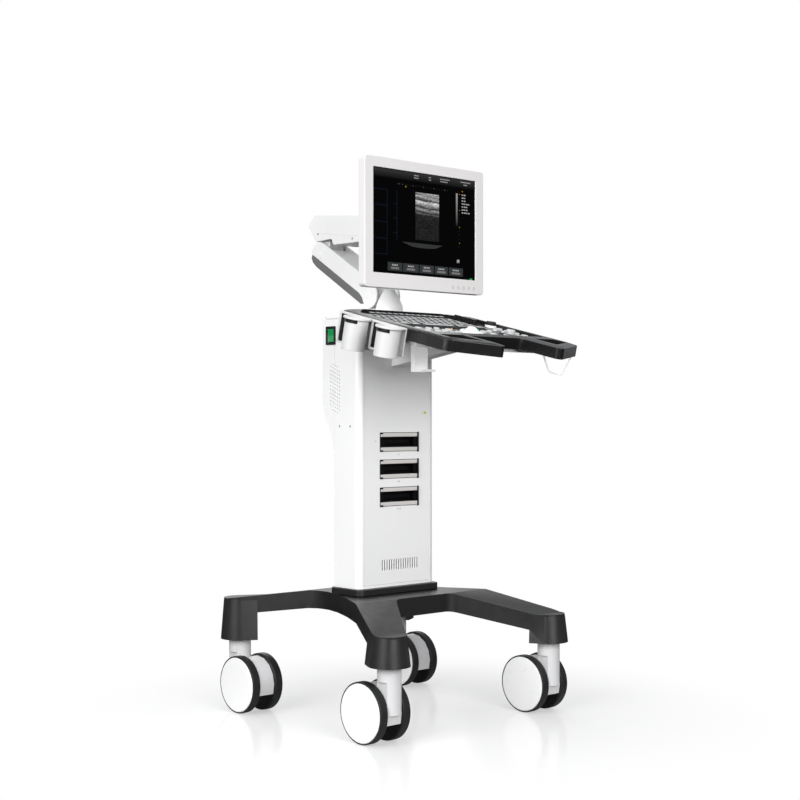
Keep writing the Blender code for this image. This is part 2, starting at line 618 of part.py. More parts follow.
def add_lower_arm(materials):
    """Lower arm: a white channel open below, and its black underside cover."""
    outline = arm_side_outline()
    arm = add_object("lower_arm", prism(outline, -ARM_HALF_WIDTH, ARM_HALF_WIDTH, "x"), materials["white"])
    inner = ARM_HALF_WIDTH - ARM_WALL
    along = (UPPER_PIVOT - LOWER_PIVOT).normalized()
    up = Vector((0, -along.z, along.y))
    start = LOWER_PIVOT - along * 0.060
    end = UPPER_PIVOT + along * 0.060
    roof = ARM_UP - ARM_WALL
    trough = [start - up * 0.05, end - up * 0.05, end + up * roof, start + up * roof]
    cut(arm, prism([(p.y, p.z) for p in trough], -inner, inner, "x"))
    for centre, first, last in ((LOWER_PIVOT, -0.060, 0.030), (UPPER_PIVOT, -0.032, 0.060)):
        box = [centre + along * first, centre + along * last, centre + along * last + up * 0.05,
               centre + along * first + up * 0.05]
        cut(arm, prism([(p.y, p.z) for p in box], -inner, inner, "x"))
        cut(arm, rod(0.0063, -0.05, 0.05, "x", centre, 16))
    gap = up * GAP
    top = [LOWER_PIVOT + along * 0.0303 - up * ARM_DOWN - gap, UPPER_PIVOT + along * 0.026 - up * ARM_DOWN - gap]
    bottom = [UPPER_PIVOT + along * 0.024 - up * (ARM_DOWN + 0.010),
              UPPER_PIVOT + along * 0.014 - up * (ARM_DOWN + COVER_THICKNESS * 0.85),
              UPPER_PIVOT - along * 0.004 - up * (ARM_DOWN + COVER_THICKNESS),
              LOWER_PIVOT + along * 0.014 - up * (ARM_DOWN + COVER_THICKNESS)]
    cover = [(p.y, p.z) for p in top + bottom] + [(0.0606, 0.9044), (0.0661, 0.9183)]
    piece = add_object("lower_arm_cover", prism(cover, -ARM_HALF_WIDTH, ARM_HALF_WIDTH, "x"), materials["arm_black"])
    clear = [LOWER_PIVOT - along * 0.05, UPPER_PIVOT + along * 0.06]
    trench = [clear[0], clear[1], clear[1] - up * (ARM_DOWN + 0.016), clear[0] - up * (ARM_DOWN + 0.016)]
    cut(piece, prism([(p.y, p.z) for p in trench], -inner, inner, "x"))


def add_tie_link(lower_link, materials):
    """Parallel link that keeps the elbow level."""
    upper_link = UPPER_PIVOT + LINK_OFFSET
    along = (upper_link - lower_link).normalized()
    angle = math.degrees(math.atan2(along.z, along.y))
    outline = arc((upper_link.y, upper_link.z), 0.006, angle - 90, angle + 90, 6)
    outline += arc((lower_link.y, lower_link.z), 0.006, angle + 90, angle + 270, 6)
    centred = [(y - lower_link.y, z - lower_link.z) for y, z in outline]
    link = add_object("tie_link", prism(centred, 0.0225, 0.0265, "x"), materials["steel"], None, lower_link)
    cut(link, rod(0.0034, 0.0, 0.05, "x", (0, 0, 0), 12))
    cut(link, rod(0.0040, 0.0, 0.05, "x", upper_link - lower_link, 12))


def add_elbow(white):
    """Elbow block: level lug between the two arms with a round post for the upper arm."""
    outline = arc((UPPER_PIVOT.y, UPPER_PIVOT.z), 0.020, 180, 360, 8)
    outline += [(UPPER_PIVOT.y + 0.020, 1.0562), (UPPER_PIVOT.y - 0.020, 1.0562)]
    elbow = add_object("elbow_block", prism(outline, -LUG_HALF_WIDTH, LUG_HALF_WIDTH, "x"), white)
    join(elbow, rod(0.018, 1.050, 1.092, centre=(0, UPPER_PIVOT.y, 0)))
    join(elbow, rod(0.006, -0.034, 0.034, "x", UPPER_PIVOT, 16))
    join(elbow, rod(0.003, 0.010, 0.029, "x", UPPER_PIVOT + LINK_OFFSET, 12))


def add_upper_arm(white):
    """Upper arm: a tapering beam with a chevron tail, notched over the elbow."""
    outline = [(-0.012, UPPER_ARM_BOTTOM), (0.165, UPPER_ARM_BOTTOM), (0.173, 1.0585), (0.229, 1.0565),
               (0.2575, 1.096), (0.232, UPPER_ARM_TOP), (-0.012, UPPER_ARM_FRONT_TOP)]
    arm = add_object("upper_arm", prism(outline, -ARM_HALF_WIDTH, ARM_HALF_WIDTH, "x"), white)
    cut(arm, rod(0.0183, 1.050, 1.0925, centre=(0, UPPER_PIVOT.y, 0)))
    cut(arm, rod(0.0103, 1.030, 1.0785, centre=(0, PAN_Y, 0)))


def add_monitor_mount(white):
    """Pan block that turns under the upper arm, and the tilting bracket behind the monitor."""
    pan = add_object("pan_block", rod(0.020, 1.028, 1.0437, centre=(0, PAN_Y, 0)), white)
    join(pan, rod(0.010, 1.040, 1.078, centre=(0, PAN_Y, 0)))
    join(pan, block((-0.018, TILT_Y, 1.029), (0.018, PAN_Y, 1.043)))
    join(pan, rod(0.0125, -0.018, 0.018, "x", (0, TILT_Y, TILT_Z)))
    join(pan, rod(0.005, -0.026, 0.026, "x", (0, TILT_Y, TILT_Z), 16))
    plate = block((-0.055, MONITOR_BACK + GAP, 0.992), (0.055, MONITOR_BACK + 0.0043, 1.102))
    bracket = add_object("tilt_bracket", plate, white)
    for side in (-1, 1):
        ear = [(MONITOR_BACK + 0.002, TILT_Z - 0.012)]
        ear += arc((TILT_Y, TILT_Z), 0.012, -90, 90, 6)
        ear += [(MONITOR_BACK + 0.002, TILT_Z + 0.012)]
        low, high = sorted((side * 0.0185, side * 0.0245))
        join(bracket, prism(ear, low, high, "x"))
    cut(bracket, rod(0.0053, -0.04, 0.04, "x", (0, TILT_Y, TILT_Z), 16))


def build_monitor(materials):
    """Monitor: front bezel, screen and back housing."""
    wide = MONITOR_HALF_WIDTH
    frame = prism(round_rectangle(-wide, MONITOR_LOW, wide, MONITOR_HIGH, 0.008), MONITOR_FRONT,
                  MONITOR_FRONT + BEZEL_DEPTH, "y")
    bezel = add_object("monitor_bezel", frame, materials["white"])
    cut(bezel, block((-SCREEN_HALF_WIDTH, MONITOR_FRONT - 0.01, SCREEN_LOW),
                     (SCREEN_HALF_WIDTH, MONITOR_FRONT + 0.05, SCREEN_HIGH)))
    margin = GAP * 2
    screen = block((-SCREEN_HALF_WIDTH + margin, MONITOR_FRONT + 0.0025, SCREEN_LOW + margin),
                   (SCREEN_HALF_WIDTH - margin, MONITOR_FRONT + BEZEL_DEPTH - GAP, SCREEN_HIGH - margin))
    add_object("screen_panel", screen, materials["screen"])
    front = MONITOR_FRONT + BEZEL_DEPTH + GAP
    back = prism(round_rectangle(-wide + 0.001, MONITOR_LOW + 0.001, wide - 0.001, MONITOR_HIGH - 0.001, 0.008),
                 front, MONITOR_BACK, "y")
    middle = (MONITOR_LOW + MONITOR_HIGH) / 2
    for vert in back.verts:
        if vert.co.y > front + 0.001:
            vert.co.x *= 0.82
            vert.co.z = middle + (vert.co.z - middle) * 0.80
    add_object("monitor_back", back, materials["white"])


def main():
    """Build every piece."""
    clear_scene()
    materials = {
        "white": make_material("white_plastic", (0.86, 0.86, 0.86), 0.35),
        "base_black": make_material("base_black", (0.028, 0.028, 0.030), 0.42),
        "console_black": make_material("console_black", (0.022, 0.022, 0.024), 0.35),
        "arm_black": make_material("arm_grey", (0.12, 0.12, 0.12), 0.5),
        "key_grey": make_material("key_grey", (0.62, 0.63, 0.64), 0.45),
        "port_black": make_material("port_black", (0.01, 0.01, 0.012), 0.3),
        "rubber": make_material("wheel_rubber", (0.03, 0.03, 0.032), 0.6),
        "grey": make_material("brake_grey", (0.45, 0.46, 0.47), 0.45),
        "green": make_material("switch_green", (0.02, 0.45, 0.12), 0.25),
        "steel": make_material("steel", (0.62, 0.62, 0.64), 0.3, 1.0),
        "screen": make_material("screen_glass", (0.005, 0.005, 0.007), 0.08),
    }
    build_base(materials)
    for tag, side_x, side_y in (("front_left", -1, -1), ("front_right", 1, -1),
                                ("rear_left", -1, 1), ("rear_right", 1, 1)):
        build_caster(tag, side_x * CASTER_X, side_y * CASTER_Y, -side_y * TRAIL, materials, side_y < 0)
    build_column(materials)
    build_console(materials)
    build_cups(materials)
    build_arm(materials)
    build_monitor(materials)
    for piece in bpy.data.objects:
        if piece.parent is None:
            piece.location.y += ORIGIN_SHIFT
    bpy.context.view_layer.update()


main()
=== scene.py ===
"""Looks of the trolley ultrasound scanner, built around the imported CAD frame.

Metres, +Z up, the user stands at -Y, so +X is the user's right. Places start from the CAD's boxes and joints.
"""
import json
import math

import bmesh
import bpy
from mathutils import Matrix, Vector


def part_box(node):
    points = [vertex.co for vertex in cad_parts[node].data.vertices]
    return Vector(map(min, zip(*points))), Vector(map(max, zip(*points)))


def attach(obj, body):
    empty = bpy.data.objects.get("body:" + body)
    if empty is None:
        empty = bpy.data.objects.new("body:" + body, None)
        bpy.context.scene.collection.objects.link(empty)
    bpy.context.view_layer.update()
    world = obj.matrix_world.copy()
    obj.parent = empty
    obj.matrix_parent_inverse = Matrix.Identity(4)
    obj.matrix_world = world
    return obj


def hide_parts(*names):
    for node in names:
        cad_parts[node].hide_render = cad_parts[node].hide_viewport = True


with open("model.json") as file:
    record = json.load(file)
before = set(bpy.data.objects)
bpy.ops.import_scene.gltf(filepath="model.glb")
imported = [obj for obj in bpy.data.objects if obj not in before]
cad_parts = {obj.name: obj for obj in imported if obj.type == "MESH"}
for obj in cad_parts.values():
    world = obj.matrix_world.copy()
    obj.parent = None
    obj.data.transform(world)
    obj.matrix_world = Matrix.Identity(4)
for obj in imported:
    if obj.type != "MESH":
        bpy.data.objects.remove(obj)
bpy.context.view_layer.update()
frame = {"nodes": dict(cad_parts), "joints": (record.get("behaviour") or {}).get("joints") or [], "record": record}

JOINTS = {joint["name"]: joint for joint in frame["joints"]}
BODY_OF = {node: body for body, nodes in frame["record"]["behaviour"]["bodies"].items() for node in nodes}
CASTERS = ("front_left", "front_right", "rear_left", "rear_right")

# Console datum: the gain knob's joint gives the tilt, and the knob's place on the deck gives the origin.
KNOB_X, KNOB_Y = 0.156, -0.114
KNOB_JOINT = JOINTS["gain_knob_turn"]
CONSOLE_NORMAL = Vector(KNOB_JOINT["axis"]).normalized()
CONSOLE_SLOPE = Vector((0, CONSOLE_NORMAL.z, -CONSOLE_NORMAL.y))
CONSOLE_ORIGIN = Vector(KNOB_JOINT["pos_m"]) - Vector((KNOB_X, 0, 0)) - CONSOLE_SLOPE * KNOB_Y
CONSOLE = Matrix.Translation(CONSOLE_ORIGIN) @ Matrix((
    (1, 0, 0, 0),
    (0, CONSOLE_SLOPE.y, CONSOLE_NORMAL.y, 0),
    (0, CONSOLE_SLOPE.z, CONSOLE_NORMAL.z, 0),
    (0, 0, 0, 1)))
CONSOLE_HALF_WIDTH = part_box("console_top")[1].x
CONSOLE_THICKNESS = 0.026
BALL_Y = -0.212
BALL_RADIUS = (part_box("trackball")[1].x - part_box("trackball")[0].x) / 2


# ---------- materials

def shader_nodes(name):
    """A new node material and its parts."""
    material = bpy.data.materials.new(name)
    material.use_nodes = True
    tree = material.node_tree
    return material, tree, tree.nodes["Principled BSDF"]


def set_inputs(node, values):
    """Set a node's inputs by name."""
    for label, value in values.items():
        node.inputs[label].default_value = value


def add_node(tree, kind, values=None):
    """A new shader node, with some inputs set by name."""
    node = tree.nodes.new("ShaderNode" + kind)
    set_inputs(node, values or {})
    return node


def link(tree, source, output, target, label):
    """Join one node's output to another's input."""
    tree.links.new(source.outputs[output], target.inputs[label])


def noise(tree, scale, detail=3.0, stretch=(1, 1, 1)):
    """Noise texture in metres on the object's own coordinates."""
    place = add_node(tree, "TexCoord")
    mapping = add_node(tree, "Mapping", {"Scale": stretch})
    texture = add_node(tree, "TexNoise", {"Scale": scale, "Detail": detail})
    link(tree, place, "Object", mapping, "Vector")
    link(tree, mapping, "Vector", texture, "Vector")
    return texture


def blend_color(tree, factor, first, second):
    """Colour output that runs from one colour to another with a factor output."""
    mix = add_node(tree, "Mix")
    mix.data_type = "RGBA"
    set_inputs(mix, {"A": (*first, 1), "B": (*second, 1)})
    tree.links.new(factor, mix.inputs["Factor"])
    return mix.outputs["Result"]


def surface(name, color, roughness, metallic=0.0, grain=900.0, relief=0.06, mottle=0.04, rough_spread=0.08,
            coat=0.0, stretch=(1, 1, 1), specular=0.5):
    """Moulded or coated surface: fine grain as bump, slow mottling of colour, and roughness that varies."""
    material, tree, shader = shader_nodes(name)
    set_inputs(shader, {"Metallic": metallic, "Coat Weight": coat, "Coat Roughness": 0.12,
                        "Specular IOR Level": specular})
    slow = noise(tree, 14.0, 4.0, stretch)
    darker = [c * (1 - mottle) for c in color]
    lighter = [min(1.0, c * (1 + mottle)) for c in color]
    tree.links.new(blend_color(tree, slow.outputs["Fac"], darker, lighter), shader.inputs["Base Color"])
    spread = add_node(tree, "MapRange", {"To Min": max(0.02, roughness - rough_spread),
                                         "To Max": min(1.0, roughness + rough_spread)})
    medium = noise(tree, 60.0, 5.0, stretch)
    link(tree, medium, "Fac", spread, "Value")
    link(tree, spread, "Result", shader, "Roughness")
    fine = noise(tree, grain, 2.0, stretch)
    bump = add_node(tree, "Bump", {"Strength": relief, "Distance": 0.0004})
    link(tree, fine, "Fac", bump, "Height")
    link(tree, bump, "Normal", shader, "Normal")
    return material


def lit_face(name, strength=1.0):
    """A new black material with hardly any shine, so that only its own light shows."""
    material, tree, shader = shader_nodes(name)
    set_inputs(shader, {"Base Color": (0.001, 0.001, 0.001, 1), "Specular IOR Level": 0.03,
                        "Emission Strength": strength})
    return material, tree, shader


def glow(name, color, strength=1.0):
    """Lit picture element or lamp, slightly uneven in brightness."""
    material, tree, shader = lit_face(name, strength)
    set_inputs(shader, {"Roughness": 0.35})
    uneven = noise(tree, 40.0, 2.0)
    dimmer = [c * 0.85 for c in color]
    tree.links.new(blend_color(tree, uneven.outputs["Fac"], dimmer, color), shader.inputs["Emission Color"])
    return material


WHITE = surface("white_plastic", (0.84, 0.84, 0.84), 0.36, grain=1400, relief=0.05, mottle=0.012)
ARM_WHITE = surface("arm_white", (0.8, 0.8, 0.8), 0.32, grain=1400, relief=0.05, mottle=0.02)
BEZEL_WHITE = surface("bezel_white", (0.7, 0.685, 0.68), 0.38, grain=1600, mottle=0.015)
DISC_WHITE = surface("disc_white", (0.86, 0.86, 0.86), 0.3, grain=1200, relief=0.04, mottle=0.015)
SHADE_WHITE = surface("shade_white", (0.86, 0.86, 0.86), 0.36, grain=1200, relief=0.03, mottle=0.012)
# The hooks hang in shade: a little light of their own stands in for the bounce from a bright room.
set_inputs(SHADE_WHITE.node_tree.nodes["Principled BSDF"],
           {"Emission Color": (1, 1, 1, 1), "Emission Strength": 0.32})
CUP_WHITE = surface("cup_white", (0.64, 0.64, 0.64), 0.34, grain=1400, relief=0.04, mottle=0.012)
FENDER = surface("fender_white", (0.6, 0.6, 0.605), 0.36, grain=1200, mottle=0.03)
BASE_BLACK = surface("base_black", (0.011, 0.011, 0.0115), 0.38, grain=700, relief=0.16, mottle=0.12,
                     specular=0.42)
CONSOLE_BLACK = surface("console_black", (0.008, 0.008, 0.0085), 0.26, grain=1500, relief=0.02, mottle=0.1,
                        rough_spread=0.04, specular=0.6)
ARM_GREY = surface("arm_grey", (0.135, 0.135, 0.138), 0.44, grain=1100, relief=0.12, mottle=0.06)
EDGE_BLACK = surface("edge_black", (0.006, 0.006, 0.006), 0.4, grain=1100, relief=0.1, mottle=0.08,
                     specular=0.3)
KEY_GREY = surface("key_grey", (0.5, 0.505, 0.51), 0.42, grain=2200, relief=0.1, mottle=0.05)
KEY_SIDE = surface("key_side", (0.035, 0.035, 0.037), 0.5, grain=2200, relief=0.08, mottle=0.05, specular=0.3)
KEY_DARK = surface("key_dark", (0.1, 0.102, 0.105), 0.42, grain=2200, relief=0.1, mottle=0.06)
PORT_BLACK = surface("port_black", (0.0022, 0.0022, 0.0026), 0.42, grain=1300, relief=0.1, mottle=0.1,
                     specular=0.14)
PORT_METAL = surface("port_metal", (0.74, 0.72, 0.7), 0.38, 0.2, grain=500, relief=0.05, mottle=0.05,
                     stretch=(0.05, 1, 6))
RUBBER = surface("wheel_rubber", (0.009, 0.009, 0.0095), 0.46, grain=1600, relief=0.25, mottle=0.18,
                 specular=0.32)
BRAKE_GREY = surface("brake_grey", (0.4, 0.4, 0.405), 0.42, grain=1300, relief=0.1, mottle=0.05)
STEEL = surface("steel", (0.6, 0.6, 0.61), 0.26, 1.0, grain=300, mottle=0.05, stretch=(1, 12, 12))
SWITCH_GREEN = surface("switch_green", (0.01, 0.3, 0.075), 0.2, relief=0.04, mottle=0.1, coat=0.6)
# Black used for painted shade behind the front vent slots, and for the side screws.
SHADE_AND_SCREW_BLACK = surface("shade_and_screw_black", (0.006, 0.006, 0.006), 0.7, relief=0.1)
MARK_GREY = surface("mark_grey", (0.17, 0.165, 0.16), 0.6, relief=0.05)
TOUCH_GREY = surface("touch_grey", (0.42, 0.41, 0.41), 0.5, relief=0.04)
BALL = surface("ball_white", (0.8, 0.8, 0.8), 0.16, grain=500, relief=0.02, mottle=0.02, coat=0.5)
GLASS = surface("screen_glass", (0.0008, 0.0008, 0.001), 0.3, grain=2500, relief=0.02, mottle=0.05,
                specular=0.02)
UI = {kind: glow("ui_" + kind, color) for kind, color in (
    ("line", (0.006, 0.014, 0.028)),
    ("faint", (0.036, 0.037, 0.038)),
    ("grey", (0.115, 0.115, 0.118)),
    ("pale", (0.42, 0.42, 0.42)),
    ("amber", (0.5, 0.25, 0.02)),
    ("key", (0.036, 0.042, 0.043)),
    ("label", (0.21, 0.19, 0.19)),
    ("green", (0.05, 0.62, 0.1)))}


def fade_material(name, bottom, top):
    """Lit strip, from one grey at its bottom edge to another at its top edge."""
    material, tree, shader = lit_face(name)
    place = add_node(tree, "TexCoord")
    split = add_node(tree, "SeparateXYZ")
    link(tree, place, "Generated", split, "Vector")
    shade = blend_color(tree, split.outputs["Z"], (bottom,) * 3, (top,) * 3)
    tree.links.new(shade, shader.inputs["Emission Color"])
    return material


def multiply_add(tree, source, factor, addend):
    """Output of source * factor + addend, where the addend is a number or another output."""
    node = add_node(tree, "Math")
    node.operation = "MULTIPLY_ADD"
    node.inputs[1].default_value = factor
    tree.links.new(source, node.inputs[0])
    if isinstance(addend, float):
        node.inputs[2].default_value = addend
    else:
        tree.links.new(addend, node.inputs[2])
    return node.outputs["Value"]


def echo_material():
    """Grey speckle of an echo picture: bright layers near the top, fading with depth."""
    material, tree, shader = lit_face("echo_picture")
    place = add_node(tree, "TexCoord")
    split = add_node(tree, "SeparateXYZ")
    link(tree, place, "Generated", split, "Vector")
    speckle = noise(tree, 520.0, 4.0, (0.3, 1, 1.5))
    layers = noise(tree, 60.0, 5.0, (0.4, 1, 1.6))
    # Brightness by height, from the picture's bottom to its top; the layers wander and slant a little.
    stops = ((0.0, 0.013), (0.46, 0.014), (0.52, 0.022), (0.55, 0.1), (0.59, 0.028), (0.66, 0.26),
             (0.7, 0.035), (0.8, 0.66), (0.84, 0.045), (0.91, 0.38), (0.96, 0.2), (1.0, 0.4))
    bands = add_node(tree, "ValToRGB")
    ramp = bands.color_ramp.elements
    ramp[0].position, ramp[1].position = stops[0][0], stops[-1][0]
    ramp[0].color = (stops[0][1],) * 3 + (1,)
    ramp[1].color = (stops[-1][1],) * 3 + (1,)
    for position, value in stops[1:-1]:
        ramp.new(position).color = (value, value, value, 1)
    wander = multiply_add(tree, layers.outputs["Fac"], 0.13, -0.09)
    height = multiply_add(tree, split.outputs["Z"], 1.0, wander)
    tree.links.new(multiply_add(tree, split.outputs["X"], 0.05, height), bands.inputs["Fac"])
    grain = add_node(tree, "MapRange", {"From Min": 0.35, "From Max": 0.68, "To Min": 0.25, "To Max": 1.7})
    link(tree, speckle, "Fac", grain, "Value")
    product = add_node(tree, "Mix", {"Factor": 1.0})
    product.data_type = "RGBA"
    product.blend_type = "MULTIPLY"
    link(tree, bands, "Color", product, "A")
    link(tree, grain, "Result", product, "B")
    link(tree, product, "Result", shader, "Emission Color")
    return material


# ---------- mesh helpers

def block(low, high):
    """A box between two corners."""
    bm = bmesh.new()
    bmesh.ops.create_cube(bm, size=1.0)
    bmesh.ops.scale(bm, vec=Vector(high) - Vector(low), verts=bm.verts)
    bmesh.ops.translate(bm, vec=(Vector(high) + Vector(low)) / 2, verts=bm.verts)
    return bm


def loft(lower, low, upper, high, direction="z"):
    """A closed solid between two outlines; direction x reads points as (y, z), y as (x, z), z as (x, y)."""
    place = {"x": lambda p, d: (d, p[0], p[1]),
             "y": lambda p, d: (p[0], d, p[1]),
             "z": lambda p, d: (p[0], p[1], d)}
    bm = bmesh.new()
    bottom = [bm.verts.new(place[direction](point, low)) for point in lower]
    top = [bm.verts.new(place[direction](point, high)) for point in upper]
    bm.faces.new(bottom)
    bm.faces.new(top)
    count = len(lower)
    for i in range(count):
        after = (i + 1) % count
        bm.faces.new((bottom[i], bottom[after], top[after], top[i]))
    return bm


def prism(outline, low, high, direction="z"):
    """Extrude an outline."""
    return loft(outline, low, outline, high, direction)


def turned(profile, segments=48, axis="z", centre=(0, 0, 0)):
    """Spin a (radius, height) profile that starts and ends on the axis, or else closes on itself."""
    bm = bmesh.new()
    turns = [2 * math.pi * step / segments for step in range(segments)]
    rings = []
    for radius, height in profile:
        if radius == 0.0:
            rings.append([bm.verts.new((0, 0, height))])
        else:
            rings.append([bm.verts.new((radius * math.cos(a), radius * math.sin(a), height)) for a in turns])
    pairs = list(zip(rings, rings[1:]))
    if len(rings[0]) > 1:
        pairs.append((rings[-1], rings[0]))
    for first, second in pairs:
        for step in range(segments):
            after = (step + 1) % segments
            if len(first) == 1:
                bm.faces.new((first[0], second[step], second[after]))
            elif len(second) == 1:
                bm.faces.new((first[step], second[0], first[after]))
            else:
                bm.faces.new((first[step], second[step], second[after], first[after]))
    turn = {"z": Matrix.Identity(3), "x": Matrix.Rotation(math.radians(90), 3, "Y"),
            "y": Matrix.Rotation(math.radians(-90), 3, "X")}[axis]
    bmesh.ops.rotate(bm, cent=(0, 0, 0), matrix=turn, verts=bm.verts)
    bmesh.ops.translate(bm, vec=centre, verts=bm.verts)
    return bm


def rod(radius, low, high, axis="z", centre=(0, 0, 0), segments=32):
    """A solid cylinder."""
    return turned([(0.0, low), (radius, low), (radius, high), (0.0, high)], segments, axis, centre)


def arc(centre, radius, start, end, steps=6):
    """Points on an arc in degrees."""
    turns = [math.radians(start + (end - start) * step / steps) for step in range(steps + 1)]
    return [(centre[0] + radius * math.cos(a), centre[1] + radius * math.sin(a)) for a in turns]


def round_rectangle(left, front, right, back, radius, steps=4):
    """Outline of a rectangle with round corners."""
    points = []
    for x, y, start in ((right - radius, back - radius, 0), (left + radius, back - radius, 90),
                        (left + radius, front + radius, 180), (right - radius, front + radius, 270)):
        points += arc((x, y), radius, start, start + 90, steps)
    return points


def mirrored(points):
    """Close a half outline with its mirror image."""
    return points + [(-x, y) for x, y in reversed(points) if x > 1e-6]


def bent_wire(path, radius, x, bend, sides=16, bend_steps=6):
    """Round wire along (y, z) points in the plane of one x, with rounded bends."""
    line = [Vector(path[0])]
    for before, corner, after in zip(path, path[1:], path[2:]):
        corner = Vector(corner)
        start = corner + (Vector(before) - corner).normalized() * bend
        end = corner + (Vector(after) - corner).normalized() * bend
        for step in range(bend_steps + 1):
            t = step / bend_steps
            line.append(start * (1 - t) ** 2 + corner * 2 * t * (1 - t) + end * t ** 2)
    line.append(Vector(path[-1]))
    bm = bmesh.new()
    turns = [2 * math.pi * step / sides for step in range(sides)]
    rings = []
    for i, point in enumerate(line):
        tangent = (line[min(i + 1, len(line) - 1)] - line[max(i - 1, 0)]).normalized()
        rings.append([bm.verts.new((x + radius * math.cos(a), point.x - tangent.y * radius * math.sin(a),
                                    point.y + tangent.x * radius * math.sin(a))) for a in turns])
    for first, second in zip(rings, rings[1:]):
        for step in range(sides):
            after = (step + 1) % sides
            bm.faces.new((first[step], first[after], second[after], second[step]))
    bm.faces.new(rings[0])
    bm.faces.new(rings[-1])
    return bm


def merge(parts):
    """Several bmeshes as one."""
    bm = bmesh.new()
    for part in parts:
        mesh = bpy.data.meshes.new("part")
        part.to_mesh(mesh)
        part.free()
        bm.from_mesh(mesh)
        bpy.data.meshes.remove(mesh)
    return bm


def finish_mesh(piece, bevel, segments, angle):
    """Round the edges sharper than an angle, and shade evenly."""
    mesh = piece.data
    mesh.shade_smooth()
    mesh.set_sharp_from_angle(angle=math.radians(40))
    if bevel:
        modifier = piece.modifiers.new("edges", "BEVEL")
        modifier.width = bevel
        modifier.segments = segments
        modifier.limit_method = "ANGLE"
        modifier.angle_limit = math.radians(angle)
        modifier.harden_normals = True
        modifier.miter_outer = "MITER_ARC"
    even = piece.modifiers.new("normals", "WEIGHTED_NORMAL")
    even.keep_sharp = True


def make(name, bm, material, body, bevel=0.0, segments=3, angle=30, matrix=None, replaces=None):
    """A new piece from a bmesh, riding on a body; a list of materials goes by the faces' indices."""
    bmesh.ops.recalc_face_normals(bm, faces=bm.faces)
    if matrix is not None:
        bmesh.ops.transform(bm, matrix=matrix, verts=bm.verts)
    mesh = bpy.data.meshes.new(name)
    bm.to_mesh(mesh)
    bm.free()
    for entry in (material if isinstance(material, list) else [material]):
        mesh.materials.append(entry)
    piece = bpy.data.objects.new(name, mesh)
    bpy.context.scene.collection.objects.link(piece)
    finish_mesh(piece, bevel, segments, angle)
    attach(piece, body)
    if replaces:
        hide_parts(replaces)
    return piece


def boolean(target, cutter, operation="DIFFERENCE"):
    """Apply one exact Boolean to a bmesh and return the result as a bmesh."""
    pair = []
    for source in (target, cutter):
        bmesh.ops.recalc_face_normals(source, faces=source.faces)
        mesh = bpy.data.meshes.new("tool")
        source.to_mesh(mesh)
        source.free()
        tool = bpy.data.objects.new("tool", mesh)
        bpy.context.scene.collection.objects.link(tool)
        pair.append(tool)
    modifier = pair[0].modifiers.new("shape", "BOOLEAN")
    modifier.operation = operation
    modifier.solver = "EXACT"
    modifier.object = pair[1]
    bpy.context.view_layer.update()
    evaluated = pair[0].evaluated_get(bpy.context.evaluated_depsgraph_get())
    result = bmesh.new()
    result.from_mesh(evaluated.to_mesh())
    evaluated.to_mesh_clear()
    for tool in pair:
        mesh = tool.data
        bpy.data.objects.remove(tool, do_unlink=True)
        bpy.data.meshes.remove(mesh)
    return result


def cad_shape(node):
    """A clean copy of a CAD node's mesh: shared vertices and flat faces in one piece."""
    bm = bmesh.new()
    bm.from_mesh(frame["nodes"][node].data)
    bmesh.ops.remove_doubles(bm, verts=bm.verts, dist=2e-6)
    bmesh.ops.dissolve_limit(bm, angle_limit=math.radians(0.6), verts=bm.verts, edges=bm.edges)
    return bm


def dress(node, material, bevel=0.0, segments=3, angle=30, cutters=()):
    """Finished version of a CAD node: same shape, with cut details and rounded edges."""
    bm = cad_shape(node)
    for cutter in cutters:
        bm = boolean(bm, cutter)
    return make(node + "_finished", bm, material, BODY_OF[node], bevel, segments, angle,
                replaces=node)


def screw(name, centre, axis, radius, body, material=None, proud=0.0006):
    """Screw head with a round socket, standing a little proud of its seat."""
    head = [(0.0, -0.001), (radius, -0.001), (radius, proud * 0.5), (radius * 0.86, proud),
            (radius * 0.46, proud), (radius * 0.42, -0.0002), (0.0, -0.0002)]
    bm = turned(head, 24)
    direction = Vector(axis).normalized()
    turn = Vector((0, 0, 1)).rotation_difference(direction).to_matrix().to_4x4()
    return make(name, bm, material or STEEL, body, matrix=Matrix.Translation(centre) @ turn)


# ---------- base and casters

def build_base():
    """Satin black base with soft casting edges, and the plinth."""
    dress("base_frame", BASE_BLACK, 0.0035, 4, 38)
    dress("column_plinth", BASE_BLACK, 0.0022)


def build_wheel(tag, side_name):
    """Twin wheel: black tyre with a round shoulder round a slightly domed white disc."""
    node = f"wheel_{side_name}_{tag}"
    low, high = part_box(node)
    centre = Vector(JOINTS[node + "_spin"]["pos_m"])
    outward = -1 if side_name == "left" else 1
    near = abs((low.x if outward > 0 else high.x) - centre.x)
    far = abs((high.x if outward > 0 else low.x) - centre.x)
    radius = (high.z - low.z) / 2
    bore = 0.0055
    bore_floor = far - 0.0045
    disc = radius * 0.945
    inner_round, outer_round = 0.004, 0.0028
    profile = [(0.0, bore_floor), (bore, bore_floor), (bore, near), (disc * 0.6, near),
               (radius - inner_round, near)]
    for r, h in arc((0, 0), inner_round, -60, 0, 3):
        profile.append((radius - inner_round + r, near + inner_round + h))
    for r, h in arc((0, 0), outer_round, 0, 80, 4):
        profile.append((radius - outer_round + r, far - 0.004 + h))
    profile += [(disc + 0.0005, far - 0.0013), (disc + 0.0002, far - 0.0024), (disc - 0.0003, far - 0.0024),
                (disc - 0.0009, far - 0.001), (disc * 0.96, far - 0.0004), (disc * 0.6, far), (0.0, far)]
    bm = turned([(r, outward * h) for r, h in profile], 72, "x", centre)
    for face in bm.faces:
        middle = face.calc_center_median() - centre
        on_disc = math.hypot(middle.y, middle.z) < disc + 0.0001 and abs(middle.x) > near + inner_round
        face.material_index = 1 if on_disc else 0
    make(node + "_finished", bm, [RUBBER, DISC_WHITE], node, replaces=node)


